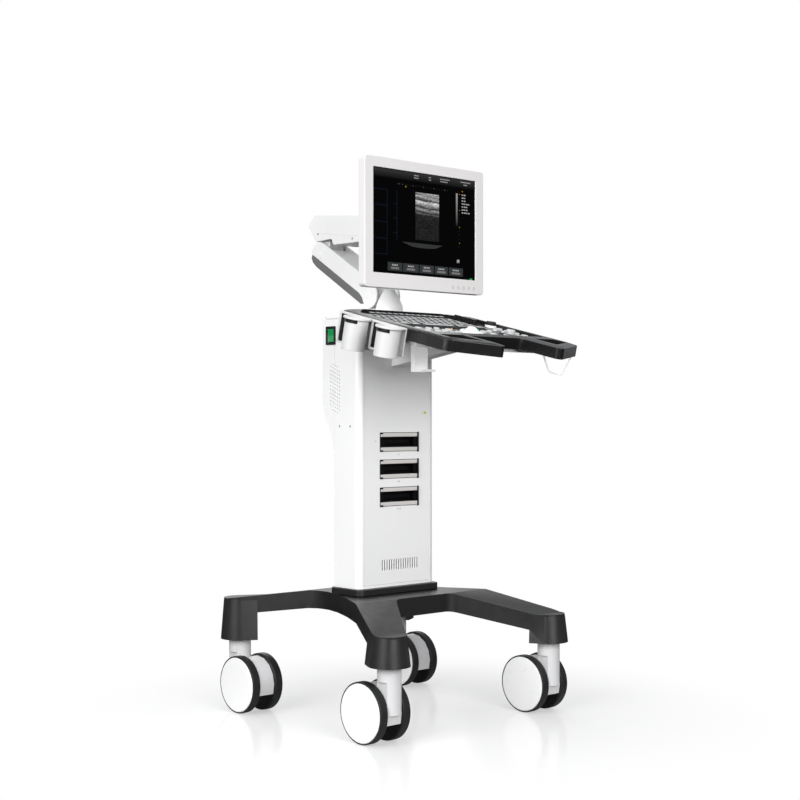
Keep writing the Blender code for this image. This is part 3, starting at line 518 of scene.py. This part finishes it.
def build_casters():
    """Housings, stems, axles, wheels and brakes."""
    for tag in CASTERS:
        body = "caster_" + tag
        housing = "caster_housing_" + tag
        dress(housing, FENDER, 0.0012, 3, 40)
        dress("caster_axle_" + tag, STEEL, 0.0004, 2, 40)
        for side_name in ("left", "right"):
            build_wheel(tag, side_name)
        stem = Vector(JOINTS[body + "_swivel"]["pos_m"])
        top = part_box(housing)[1].z
        collar = [(0.0246, top - 0.0105), (0.0258, top - 0.0105), (0.0262, top - 0.0085),
                  (0.0258, top - 0.0065), (0.0246, top - 0.0065)]
        ring = turned(collar, 56, centre=(stem.x, stem.y, 0))
        make("stem_ring_" + tag, ring, FENDER, body)
        if "front" in tag:
            dress("brake_pedal_" + tag, BRAKE_GREY, 0.0018)


# ---------- column

def side_vents(flank, face):
    """Slanted slots for the left flank, in columns that climb to the rear; the outer two are shorter."""
    columns, rows = 5, 13
    first_y, first_z = face + 0.064, 0.655
    column_step, row_step, climb = 0.0074, 0.0084, 0.003
    half = 0.0019
    slots = []
    for column in range(columns):
        for row in range(rows):
            if column in (0, columns - 1) and row in (0, rows - 1):
                continue
            y = first_y + column * column_step
            z = first_z + row * row_step + column * climb
            slot = [(y - half, z), (y + half, z + 0.0024), (y + half, z + 0.0044), (y - half, z + 0.002)]
            slots.append(prism(slot, flank - 0.002, flank + 0.006, "x"))
    return merge(slots)


def build_front_panel():
    """Front panel with its row of vent slots, a black sheet behind them as painted shade inside the slots, and two
    lamps.
    """
    low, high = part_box("front_panel")
    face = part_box("column_shell")[0].y
    through = (face - 0.004, face + 0.01, "y")
    slot_low, slot_high, half = 0.313, 0.3365, 0.0014
    slots = []
    for number in range(16):
        x = -0.043 + number * 0.00693
        slots.append(prism(round_rectangle(x - half, slot_low, x + half, slot_high, 0.001, 3), *through))
    lamp_x, lamp_z = 0.085, 0.66
    lamp_holes = [rod(0.0034, *through, (lamp_x, 0, lamp_z), 24),
                  rod(0.0014, *through, (0.077, 0, lamp_z), 20)]
    dress("front_panel", WHITE, 0.0008, 2, 35, [merge(slots), merge(lamp_holes)])
    profile = [(0.0, 0.002), (0.0032, 0.002), (0.0031, 0.0002), (0.0022, -0.0006), (0.0, -0.0009)]
    dome = turned(profile, 28, "y", (lamp_x, low.y, lamp_z))
    make("status_lamp", dome, glow("lamp_green", (0.42, 0.45, 0.02), 1.1), "trolley")
    pin = rod(0.0011, -0.0002, 0.0012, "y", (-0.064, low.y, 0.597), 20)
    make("ready_lamp", pin, glow("lamp_amber", (0.85, 0.55, 0.05), 0.8), "trolley")
    # Painted shade: a black sheet behind the vent slots darkens their insides.
    slot_shade = block((-0.047, high.y + 0.0015, 0.308), (0.065, high.y + 0.003, 0.342))
    make("vent_painted_shade", slot_shade, SHADE_AND_SCREW_BLACK, "trolley", 0.0004)


def build_column():
    """Column shell, front panel, rear cover and cap with their vents, screws, sockets and switch."""
    low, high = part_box("column_shell")
    rear_low, rear_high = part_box("rear_cover")
    vents = side_vents(low.x, low.y)
    dress("column_shell", WHITE, 0.0007, 2, 35, [vents.copy()])
    build_front_panel()
    louvres = []
    for row in range(14):
        z = rear_high.z - 0.03 - row * 0.0085
        outline = round_rectangle(-0.07, z - 0.0016, 0.07, z + 0.0016, 0.0015, 3)
        louvres.append(prism(outline, rear_high.y - 0.0022, rear_high.y + 0.004, "y"))
    dress("rear_cover", WHITE, 0.0012, 3, 30, [merge(louvres), vents])
    dress("column_cap", WHITE, 0.0022, 4)
    dress("electronics_chassis", STEEL, 0.001, 2)
    dress("console_bracket", WHITE, 0.0012)
    for number, y in enumerate((low.y + 0.0637, low.y + 0.0277), 1):
        for name, x, side in (("left", low.x, -1), ("right", high.x, 1)):
            screw(f"side_screw_{name}_{number}", (x, y, 0.63), (side, 0, 0), 0.0022, "trolley",
                  SHADE_AND_SCREW_BLACK, 0.0003)
    corners = [(x, z) for z in (0.72, 0.852) for x in (-0.098, 0.098)]
    for number, (x, z) in enumerate(corners, 1):
        screw(f"rear_screw_{number}", (x, rear_high.y, z), (0, 1, 0), 0.0034, "trolley")
    build_ports()
    build_switch(rear_low.x)


def level_bars(left, right, front, back, heights, half):
    """A bar across at each height."""
    return [block((left, front, z - half), (right, back, z + half)) for z in heights]


def build_ports():
    """Three probe sockets: silvery rails, black end blocks, a deep mouth with contacts, and pip marks."""
    half_mouth = 0.0112
    pins, pin_pitch, pin_half = 26, 0.003, 0.0005
    for number in (1, 2, 3):
        low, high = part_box(f"probe_port_{number}")
        x = (low.x + high.x) / 2
        z = (low.z + high.z) / 2
        front = low.y
        dress(f"probe_port_{number}", PORT_BLACK, 0.0006, 2, 35)
        rails = []
        for base, edge in ((z + half_mouth, high.z), (low.z, z - half_mouth)):
            outline = [(front + 0.0014, base), (front - 0.0008, base + 0.0008),
                       (front - 0.0012, edge - 0.0008), (front + 0.0014, edge)]
            rails.append(prism(outline, low.x + 0.001, high.x + 0.0006, "x"))
        make(f"port_rails_{number}", merge(rails), PORT_METAL, "trolley", 0.0004)
        corners = (low.z + 0.0011, high.z - 0.0011)
        ends = level_bars(low.x - 0.0006, low.x + 0.0068, front - 0.0024, front, corners, 0.0018)
        ends.append(block((high.x - 0.0012, front - 0.003, low.z - 0.0016),
                          (high.x + 0.0026, front, high.z + 0.0016)))
        make(f"port_ends_{number}", merge(ends), PORT_BLACK, "trolley", 0.0005)
        edges = (low.z + 0.001, high.z - 0.001)
        ticks = level_bars(high.x + 0.0022, high.x + 0.0086, front - 0.0005, front + 0.0004, edges, 0.0004)
        make(f"port_ticks_{number}", merge(ticks), PORT_METAL, "trolley", 0.00015)
        floor = front + 0.0157
        contacts = [block((x - 0.04, floor - 0.006, z - 0.0032), (x + 0.04, floor, z + 0.0032))]
        for row_z in (z - 0.0058, z + 0.0058):
            for pin in range(pins):
                pin_x = x - 0.0375 + pin * pin_pitch
                contacts.append(block((pin_x - pin_half, floor - 0.004, row_z - pin_half),
                                      (pin_x + pin_half, floor, row_z + pin_half)))
        make(f"port_contacts_{number}", merge(contacts), PORT_BLACK, "trolley")
        pips = []
        for pip in range(number):
            place = (x + (pip - (number - 1) / 2) * 0.0045, front + 0.0004, low.z - 0.0072)
            pips.append(rod(0.0011, -0.0001, 0.0006, "y", place, 16))
        make(f"port_pips_{number}", merge(pips), MARK_GREY, "trolley")


def build_switch(flank):
    """Green mains rocker with its black bezel on the left flank."""
    low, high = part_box("power_switch")
    y, z = (low.y + high.y) / 2, (low.z + high.z) / 2
    dress("power_switch", SWITCH_GREEN, 0.0009)
    outer = round_rectangle(y - 0.0165, z - 0.0205, y + 0.0165, z + 0.0205, 0.002)
    inner = round_rectangle(y - 0.0105, z - 0.0155, y + 0.0105, z + 0.0155, 0.0008)
    bezel = prism(outer, flank - 0.0022, flank - 0.0001, "x")
    bezel = boolean(bezel, prism(inner, flank - 0.004, flank + 0.002, "x"))
    make("switch_bezel", bezel, EDGE_BLACK, "trolley", 0.0007)


# ---------- console

KEY_BASE = -0.0079
KEY_PITCH = 0.0175
KEY_GAP = 0.0042
KEY_DEPTH = 0.0176
KEYS_LEFT = -0.1665
KEYS_RIGHT = KEYS_LEFT + 0.262
# Typing rows from the back: y, shift to the right, and number of keys.
KEY_ROWS = ((-0.056, 0.0, 14), (-0.0785, 0.005, 14), (-0.101, 0.0085, 13), (-0.1235, 0.013, 13))
# Round keys in columns: x, width, and each key's y.
ROUND_KEYS = (
    (0.146, 0.016, (-0.15, -0.176, -0.202, -0.228)),
    (0.124, 0.013, (-0.16, -0.186)),
    (0.118, 0.013, (-0.238,)),
    (-0.052, 0.016, (-0.196, -0.226)),
    (0.052, 0.016, (-0.196, -0.226)),
    (-0.078, 0.013, (-0.186, -0.211, -0.236)),
    (0.08, 0.013, (-0.186, -0.236)),
    (-0.106, 0.015, (-0.192, -0.222)),
    (-0.136, 0.015, (-0.192, -0.222)))


def console_piece(name, bm, material, bevel=0.0, segments=3, angle=30, replaces=None, body="trolley"):
    """A piece given in the console's own axes: x to the right, y up the slope to the back, z off the deck."""
    make(name, bm, material, body, bevel, segments, angle, CONSOLE, replaces)


def console_half_outline(inset=0.0):
    """Right half of the console's plan, as in the CAD, with an inset."""
    wide = CONSOLE_HALF_WIDTH - inset
    notch = 0.078 + inset
    lip_round, front_round, back_round = 0.012, 0.024, 0.012
    back = 0.018 - inset
    points = [(0.0, -0.28 + inset), (notch - 0.014, -0.28 + inset), (notch - 0.004, -0.284 + inset),
              (notch, -0.294)]
    points += arc((notch + lip_round, -0.38 + inset), lip_round, 180, 285, 8)
    points += arc((wide - front_round, -0.326 + inset), front_round, 285, 360, 10)
    points += arc((wide - back_round, -0.025), back_round, 0, 58, 5)
    points += arc((0.134 - inset - back_round, back - back_round), back_round, 58, 90, 4)
    return points + [(0.0, back)]


def build_console():
    """Console body with its chamfered rim, deck, handles, underside and controls."""
    outer = mirrored(console_half_outline())
    inner = mirrored(console_half_outline(0.013))
    rim = -0.003
    body = boolean(prism(outer, -CONSOLE_THICKNESS, rim), loft(outer, rim, inner, -0.0002), "UNION")
    handle = [(0.106, -0.292), (0.172, -0.292), (0.172, -0.327), (0.106, -0.357)]
    body = boolean(body, merge([prism([(side * x, y) for x, y in handle], -0.05, 0.05) for side in (-1, 1)]))
    deck = [(0.0, -0.262), (0.166, -0.262), (0.172, -0.256), (0.172, -0.048), (0.122, 0.004), (0.0, 0.004)]
    body = boolean(body, prism(mirrored(deck), -0.008, 0.02))
    body = boolean(body, rod(BALL_RADIUS + 0.001, -0.0245, 0.01, centre=(0, BALL_Y, 0), segments=48))
    console_piece("console_body", body, CONSOLE_BLACK, 0.0011, 3, 24, "console_top")
    dress("console_bottom", WHITE, 0.003, 4)
    dress("cable_hook_left", SHADE_WHITE, 0.0008, 2)
    wire = 0.002
    low = -0.0755 + wire
    underside = -CONSOLE_THICKNESS - wire
    path = [(-0.244, underside), (-0.277, low), (-0.3145, low), (-0.3317, underside)]
    hook = bent_wire(path, wire, 0.188, 0.008)
    node = "cable_hook_right"
    console_piece(node + "_finished", hook, SHADE_WHITE, replaces=node)
    build_keys()
    build_controls()
    build_cups()


def key_cap(x, y, wide, deep, top=-0.0032):
    """One typing key: a tapered cap with a slightly smaller top, pale above and dark at its sides."""
    taper = 0.84
    lower = round_rectangle(x - wide / 2, y - deep / 2, x + wide / 2, y + deep / 2, 0.0012, 2)
    upper = [(x + (px - x) * taper, y + 0.0003 + (py - y) * taper) for px, py in lower]
    cap = loft(lower, KEY_BASE, upper, top)
    cap.normal_update()
    for face in cap.faces:
        face.material_index = 0 if abs(face.normal.z) > 0.9 else 1
    return cap


def round_key(x, y, wide, top=-0.0034):
    """One round key with a soft rim and a dished top."""
    profile = [(0.0, KEY_BASE), (wide / 2, KEY_BASE), (wide / 2 - 0.0002, top - 0.001),
               (wide / 2 - 0.0012, top), (wide / 4, top - 0.0005), (0.0, top - 0.0007)]
    return turned(profile, 32, centre=(x, y, 0))


def build_keys():
    """Typing keys in staggered rows, two rows of function keys, and round control keys."""
    caps = []
    for y, shift, count in KEY_ROWS:
        caps.append(key_cap(KEYS_LEFT + shift / 2, y, KEY_PITCH + shift - KEY_GAP, KEY_DEPTH))
        for number in range(1, count):
            caps.append(key_cap(KEYS_LEFT + shift + number * KEY_PITCH, y, KEY_PITCH - KEY_GAP, KEY_DEPTH))
        end = KEYS_LEFT + shift + (count - 0.5) * KEY_PITCH
        if KEYS_RIGHT - end > 0.006:
            caps.append(key_cap((end + KEYS_RIGHT) / 2, y, KEYS_RIGHT - end - KEY_GAP, KEY_DEPTH))
    wide, space_bar = 0.026, 0.102
    for x, width in ((-0.16, wide), (-0.131, wide), (-0.102, wide), (-0.035, space_bar), (0.031, wide),
                     (0.06, wide), (0.088, wide)):
        caps.append(key_cap(x, -0.146, width, KEY_DEPTH))
    pitch = 0.0172
    caps += [key_cap(-0.112 + number * pitch, -0.018, 0.0142, 0.012) for number in range(13)]
    dark = [key_cap(-0.098 + number * pitch, -0.001, 0.0132, 0.0072, -0.0045) for number in range(11)]
    deck = block((-0.17, -0.16, -0.0085), (0.102, -0.006, -0.0072))
    console_piece("key_deck", deck, EDGE_BLACK)
    console_piece("key_caps", merge(caps), [KEY_GREY, KEY_SIDE], 0.0006, 2, 25, "key_mat")
    console_piece("key_caps_small", merge(dark), [KEY_DARK, KEY_SIDE], 0.0004, 2, 25)
    rounds = [round_key(x, y, width) for x, width, column in ROUND_KEYS for y in column]
    console_piece("round_keys", merge(rounds), KEY_GREY)
    long_side, short_side, top = 0.02, 0.011, -0.0034
    bars = [key_cap(0.098, -0.211, short_side, long_side, top)]
    bars += [key_cap(x, -0.252, long_side, short_side, top) for x in (-0.028, 0.0, 0.028)]
    console_piece("set_keys", merge(bars), [KEY_GREY, KEY_SIDE], 0.0008, 3, 25)


def build_gain_knob():
    """Pale base, black grip with fine ridges, and a white pointer."""
    knob = "gain_knob"
    profile = [(0.0, -0.0074), (0.013, -0.0074), (0.0128, -0.0036), (0.012, -0.0026), (0.0, -0.0026)]
    base = turned(profile, 48, centre=(KNOB_X, KNOB_Y, 0))
    console_piece("gain_knob_base", base, WHITE, body=knob)
    ridges = 72
    lower = []
    for step in range(ridges):
        angle = 2 * math.pi * step / ridges
        radius = 0.0112 + (0.0004 if step % 2 else -0.0002)
        lower.append((KNOB_X + radius * math.cos(angle), KNOB_Y + radius * math.sin(angle)))
    upper = [(KNOB_X + (x - KNOB_X) * 0.93, KNOB_Y + (y - KNOB_Y) * 0.93) for x, y in lower]
    grip = loft(lower, -0.0024, upper, 0.0054)
    console_piece("gain_knob_grip", grip, EDGE_BLACK, 0.0004, 2, 45, knob, knob)
    pointer = block((KNOB_X - 0.0006, KNOB_Y + 0.0045, 0.0053), (KNOB_X + 0.0006, KNOB_Y + 0.0098, 0.0056))
    console_piece("gain_knob_pointer", pointer, WHITE, body=knob)


def build_controls():
    """Trackball with its ring, gain knob, freeze button, sliders in their slots, and small lamps."""
    sphere = bmesh.new()
    bmesh.ops.create_uvsphere(sphere, u_segments=48, v_segments=24, radius=BALL_RADIUS)
    make("trackball_finished", sphere, BALL, "trackball",
         matrix=Matrix.Translation(Vector(JOINTS["trackball_roll"]["pos_m"])), replaces="trackball")
    hole = BALL_RADIUS + 0.0011
    ring = [(hole, -0.0078), (hole + 0.0095, -0.0078), (hole + 0.0095, -0.0068), (hole + 0.0075, -0.003),
            (hole + 0.005, -0.002), (hole + 0.0012, -0.002), (hole, -0.003)]
    console_piece("trackball_ring", turned(ring, 64, centre=(0, BALL_Y, 0)), WHITE)
    build_gain_knob()
    dress("freeze_button", KEY_GREY, 0.0006)
    slots = []
    half_slot = 0.0185
    for number in range(1, 9):
        node = f"tgc_slider_{number}"
        dress(node, EDGE_BLACK, 0.0006, 2)
        low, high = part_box(node)
        middle = CONSOLE.inverted() @ ((low + high) / 2)
        slots.append(block((middle.x - half_slot, middle.y - 0.0007, -0.0079),
                           (middle.x + half_slot, middle.y + 0.0007, -0.0073)))
        line = block((-0.0004, -0.003, 0.0), (0.0004, 0.003, 0.00035))
        place = Matrix.Translation(Vector((middle.x, middle.y, 0.0044)))
        make(f"tgc_mark_{number}", line, WHITE, node, matrix=CONSOLE @ place)
    console_piece("tgc_tracks", merge(slots), EDGE_BLACK)
    lamp = [(0.0, -0.0078), (0.0016, -0.0078), (0.0015, -0.006), (0.0, -0.0052)]
    for name, color, spots in (("amber", (0.95, 0.42, 0.03), ((0.036, -0.172), (-0.02, -0.172))),
                               ("green", (0.03, 0.85, 0.22), ((0.02, -0.176), (0.06, -0.172)))):
        lamps = merge([turned(lamp, 20, centre=(x, y, 0)) for x, y in spots])
        console_piece("key_lamps_" + name, lamps, glow(f"lamp_{name}_key", color, 1.5))


def build_cups():
    """Probe cups: white bracket and well, a black plate in the bracket's pocket, and a thin black band under the
    flange as painted shadow.
    """
    side = -CONSOLE_HALF_WIDTH - 0.0003
    top = -0.003
    well_x = side - 0.0322
    for name, back_y, centre_y, height in (("rear", -0.022, -0.106, 0.066),
                                           ("front", -0.1255, -0.2065, 0.06)):
        dress("probe_cup_" + name, CUP_WHITE, 0.0011, 3, 32)
        pocket_plate = block((side - 0.0085, centre_y + 0.016, top - height + 0.0043),
                       (side - 0.0032, back_y - 0.0063, top - 0.0043))
        console_piece("cup_pocket_plate_" + name, pocket_plate, EDGE_BLACK, 0.0005, 2)
        # Painted shadow: a thin black band round the well just under the flange.
        band = arc((well_x, centre_y), 0.0252, 122, 232, 24) + arc((well_x, centre_y), 0.024, 232, 122, 24)
        console_piece("cup_flange_shadow_" + name, prism(band, top - 0.0115, top - 0.0042), EDGE_BLACK)


# ---------- arm and monitor

def build_arm():
    """Arm castings with rounded edges, pivot caps, the dark underside cover, ribs and screws."""
    for node, material, bevel in (("arm_socket", WHITE, 0.001), ("swivel_head", ARM_WHITE, 0.0022),
                                  ("lower_arm", ARM_WHITE, 0.0024), ("lower_arm_cover", ARM_GREY, 0.0022),
                                  ("elbow_block", ARM_WHITE, 0.002), ("upper_arm", ARM_WHITE, 0.004),
                                  ("pan_block", ARM_WHITE, 0.001), ("tilt_bracket", ARM_WHITE, 0.0009),
                                  ("tie_link", STEEL, 0.0005)):
        dress(node, material, bevel, 4, 34)
    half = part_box("lower_arm")[1].x
    cap = [(0.0, 0.0), (0.0086, 0.0), (0.0086, 0.0004), (0.008, 0.0008), (0.0, 0.001)]
    for joint in ("arm_lift", "elbow_level"):
        centre = Vector(JOINTS[joint]["pos_m"])
        for side, label in ((-1, "left"), (1, "right")):
            bm = turned([(r, side * h) for r, h in cap], 40, "x", centre + Vector((side * half, 0, 0)))
            make(f"pivot_cap_{joint}_{label}", bm, ARM_WHITE, "lower_arm")
    low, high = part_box("upper_arm")
    rib_rear, rib_front = low.y + 0.22, low.y + 0.092
    rib = [(rib_front, 1.0574), (rib_rear, 1.0742), (rib_rear, 1.0754), (rib_front, 1.0586)]
    screws = ((high.y - 0.0366, 1.0738), (low.y + 0.1107, 1.0528))
    for side, label, x in ((-1, "left", low.x), (1, "right", high.x)):
        inner, outer = sorted((x - side * 0.0003, x + side * 0.0007))
        bm = prism(rib, inner, outer, "x")
        make("arm_rib_" + label, bm, ARM_WHITE, "upper_arm", 0.0003, 2)
        for number, (y, z) in enumerate(screws, 1):
            screw(f"arm_screw_{label}_{number}", (x, y, z), (side, 0, 0), 0.0026, "upper_arm",
                  MARK_GREY, 0.0004)


def build_picture():
    """The lit picture, without lettering; u and v are fractions of the screen from its top left."""
    low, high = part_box("screen_panel")
    wide, tall = high.x - low.x, high.z - low.z
    boxes = {kind: [] for kind in UI}

    def across(u):
        """Screen x of a column; the layout is packed a little to the left."""
        return low.x + (u - 0.105 * u * (1 - u)) * wide

    def down(v):
        """Screen z of a row."""
        return high.z - v * tall

    def panel(u0, v0, u1, v1, front, back):
        """A thin box on the glass between two corners."""
        return block((across(u0), low.y - front, down(v1)), (across(u1), low.y + back, down(v0)))

    def lit(kind, u0, v0, u1, v1, layer=1):
        """Add a lit box; a higher layer lies in front of a lower one."""
        boxes[kind].append(panel(u0, v0, u1, v1, 0.00018 * layer, 0.00002 * layer))

    def level_line(u0, u1, v, half=0.0022):
        """A thin line across."""
        lit("line", u0, v - half, u1, v + half)

    def upright_line(u, v0, v1, half=0.0022):
        """A thin line down."""
        lit("line", u - half * 0.75, v0, u + half * 0.75, v1)

    def strip(name, u0, v0, u1, v1, material):
        """A lit rectangle of its own, whose shading runs over its own box."""
        make(name, panel(u0, v0, u1, v1, 0.0003, 0.00005), material, "monitor")

    # Header: words as rows of small dashes (start, count, height).
    for start, count, v in ((0.414, 4, 0.028), (0.414, 4, 0.052), (0.557, 2, 0.028), (0.56, 2, 0.052),
                            (0.668, 8, 0.026), (0.672, 6, 0.05), (0.865, 8, 0.026), (0.893, 3, 0.052)):
        for step in range(count):
            u = start + step * 0.0118
            lit("pale", u, v - 0.005, u + 0.0078, v + 0.005, 2)
    # Left: a faint column of frames, and a depth line with three marks.
    frame_lines = (0.202, 0.353, 0.512, 0.671, 0.821)
    for v in frame_lines:
        level_line(0.0135, 0.147, v)
    upright_line(0.145, frame_lines[0], frame_lines[-1])
    upright_line(0.243, 0.199, 0.683, 0.003)
    for v in (0.327, 0.464, 0.605):
        level_line(0.205, 0.243, v)
    # Ruler above the echo image, every fourth mark longer, with a pointer.
    for step in range(18):
        u = 0.3 + step * 0.0258
        kind, half = ("faint", 0.0022) if step % 4 else ("grey", 0.0045)
        lit(kind, u - 0.002, 0.13 - half, u + 0.002, 0.13 + half)
    lit("faint", 0.25, 0.126, 0.275, 0.136)
    lit("amber", 0.328, 0.142, 0.337, 0.154)
    # Depth scale beside the grey ramp, and a list of settings as dashes.
    lit("amber", 0.877, 0.114, 0.886, 0.123)
    for v in (0.15, 0.311, 0.481, 0.64):
        lit("amber", 0.851, v - 0.003, 0.859, v + 0.003)
    for v in (0.19, 0.23, 0.27, 0.35, 0.39, 0.43, 0.52, 0.56, 0.6, 0.68):
        lit("faint", 0.847, v - 0.002, 0.853, v + 0.002)
    for row, count in enumerate((2, 2, 2, 4, 3, 3, 4)):
        v = 0.154 + row * 0.0297
        for dash in range(count):
            u = 0.876 + dash * 0.0195
            lit("pale", u, v - 0.0055, u + 0.0135 + 0.003 * ((row + dash) % 2), v + 0.0055)
    lit("grey", 0.827, 0.812, 0.855, 0.842)
    lit("pale", 0.833, 0.808, 0.851, 0.834, 2)
    # Soft keys along the bottom, each with a dashed caption over a plain one.
    for u0, u1 in ((0.151, 0.297), (0.306, 0.459), (0.469, 0.608), (0.618, 0.743), (0.753, 0.887)):
        middle = (u0 + u1) / 2
        lit("key", u0, 0.893, u1, 0.974)
        for step in range(4):
            u = middle - 0.03 + step * 0.0155
            lit("pale", u, 0.911, u + 0.0105, 0.925, 2)
        lit("label", middle - 0.04, 0.938, middle + 0.04, 0.957, 2)
    lit("green", 0.953, 0.987, 0.975, 0.998)
    for kind, parts in boxes.items():
        make("screen_" + kind, merge(parts), UI[kind], "monitor")
    strip("screen_echo", 0.428, 0.188, 0.657, 0.652, echo_material())
    strip("screen_header", 0.004, 0.004, 0.996, 0.085, fade_material("ui_header", 0.001, 0.03))
    strip("screen_grey_ramp", 0.821, 0.145, 0.836, 0.475, fade_material("ui_ramp", 0.004, 0.33))
    # Field of view under the echo image: a flat top and a shallow curved bottom.
    corners = [(0.295, 0.686), (0.694, 0.686)]
    corners += [(0.619 - 0.0452 * step, 0.722 + 0.0012 * step * (5 - step)) for step in range(6)]
    fan = prism([(across(u), down(v)) for u, v in corners], low.y - 0.0003, low.y + 0.00004, "y")
    make("screen_fan", fan, UI["faint"], "monitor")


def build_monitor():
    """Monitor housing with its vents, screen, lit picture, touch marks and bracket screws."""
    dress("monitor_bezel", BEZEL_WHITE, 0.0022, 4, 35)
    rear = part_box("monitor_back")[1]
    vents = []
    for row in range(2):
        for number in range(24):
            x = -0.092 + number * 0.008
            z = rear.z - 0.062 - row * 0.016
            slot = round_rectangle(x - 0.0011, z - 0.006, x + 0.0011, z + 0.006, 0.001, 2)
            vents.append(prism(slot, rear.y - 0.0025, rear.y + 0.004, "y"))
    dress("monitor_back", WHITE, 0.003, 4, 25, [merge(vents)])
    dress("screen_panel", GLASS, 0.0005, 2, 35)
    build_picture()
    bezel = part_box("monitor_bezel")[0]
    ring = [(0.0024, 0.0005), (0.0024, -0.00015), (0.0037, -0.00015), (0.0037, 0.0005)]
    marks = []
    for number in range(5):
        marks.append(turned(ring, 28, "y", (0.0815 + 0.0162 * number, bezel.y, bezel.z + 0.0125)))
    make("touch_marks", merge(marks), TOUCH_GREY, "monitor")
    bracket_low, bracket_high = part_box("tilt_bracket")
    corners = [(x, z) for z in (bracket_low.z + 0.01, bracket_high.z - 0.01) for x in (0.046, -0.046)]
    for number, (x, z) in enumerate(corners, 1):
        screw(f"bracket_screw_{number}", (x, rear.y + 0.0043, z), (0, 1, 0), 0.0035, "monitor")


# ---------- studio

def build_floor():
    """Pale glossy floor that fades into the white surroundings away from the object."""
    bm = bmesh.new()
    bmesh.ops.create_grid(bm, x_segments=2, y_segments=2, size=12.0)
    mesh = bpy.data.meshes.new("floor")
    bm.to_mesh(mesh)
    bm.free()
    floor = bpy.data.objects.new("floor", mesh)
    bpy.context.scene.collection.objects.link(floor)
    material, tree, shader = shader_nodes("floor")
    set_inputs(shader, {"Base Color": (0.9, 0.9, 0.9, 1), "Roughness": 0.16})
    place = add_node(tree, "TexCoord")
    distance = add_node(tree, "VectorMath")
    distance.operation = "LENGTH"
    link(tree, place, "Object", distance, 0)
    fade = add_node(tree, "MapRange", {"From Min": 0.3, "From Max": 0.85, "To Min": 0.45})
    fade.interpolation_type = "SMOOTHSTEP"
    link(tree, distance, "Value", fade, "Value")
    white = add_node(tree, "Emission")
    path = add_node(tree, "LightPath")
    link(tree, path, "Is Camera Ray", white, "Strength")
    mix = add_node(tree, "MixShader")
    link(tree, fade, "Result", mix, "Fac")
    link(tree, shader, "BSDF", mix, 1)
    link(tree, white, "Emission", mix, 2)
    tree.links.new(mix.outputs["Shader"], tree.nodes["Material Output"].inputs["Surface"])
    mesh.materials.append(material)


def build_world():
    """Surroundings that the camera sees as white, and that light the object more gently."""
    world = bpy.data.worlds.new("studio")
    bpy.context.scene.world = world
    world.use_nodes = True
    tree = world.node_tree
    seen = tree.nodes["Background"]
    set_inputs(seen, {"Color": (1, 1, 1, 1)})
    ambient = add_node(tree, "Background", {"Color": (0.97, 0.98, 1.0, 1), "Strength": 0.46})
    path = add_node(tree, "LightPath")
    switch = add_node(tree, "MixShader")
    link(tree, path, "Is Camera Ray", switch, "Fac")
    link(tree, ambient, "Background", switch, 1)
    link(tree, seen, "Background", switch, 2)
    tree.links.new(switch.outputs["Shader"], tree.nodes["World Output"].inputs["Surface"])


def build_studio():
    """Floor, surroundings, soft lights mostly from the left and front, and the camera."""
    build_floor()
    build_world()
    scene = bpy.context.scene
    middle = Vector((0, 0, 0.6))
    for name, place, width, watts in (("key", (-3.2, -0.5, 1.7), 2.2, 104),
                                      ("front", (-0.9, -3.4, 1.6), 2.0, 98),
                                      ("top", (0.0, 0.2, 3.4), 2.4, 24),
                                      ("rear", (1.8, 3.0, 2.0), 2.2, 22)):
        light = bpy.data.lights.new(name, "AREA")
        light.shape = "SQUARE"
        light.size = width
        light.energy = watts
        lamp = bpy.data.objects.new(name, light)
        lamp.location = place
        lamp.rotation_euler = (middle - Vector(place)).to_track_quat("-Z", "Y").to_euler()
        scene.collection.objects.link(lamp)
    lens = bpy.data.cameras.new("camera")
    lens.sensor_width = 36.0
    lens.lens = 65.71
    camera = bpy.data.objects.new("camera", lens)
    camera.location = (-2.1778, -2.3382, 0.6617)
    camera.rotation_euler = (math.radians(90.464), 0, math.radians(-42.452))
    scene.collection.objects.link(camera)
    scene.camera = camera
    scene.view_settings.view_transform = "Standard"


build_base()
build_casters()
build_column()
build_console()
build_arm()
build_monitor()
build_studio()

bpy.context.view_layer.update()
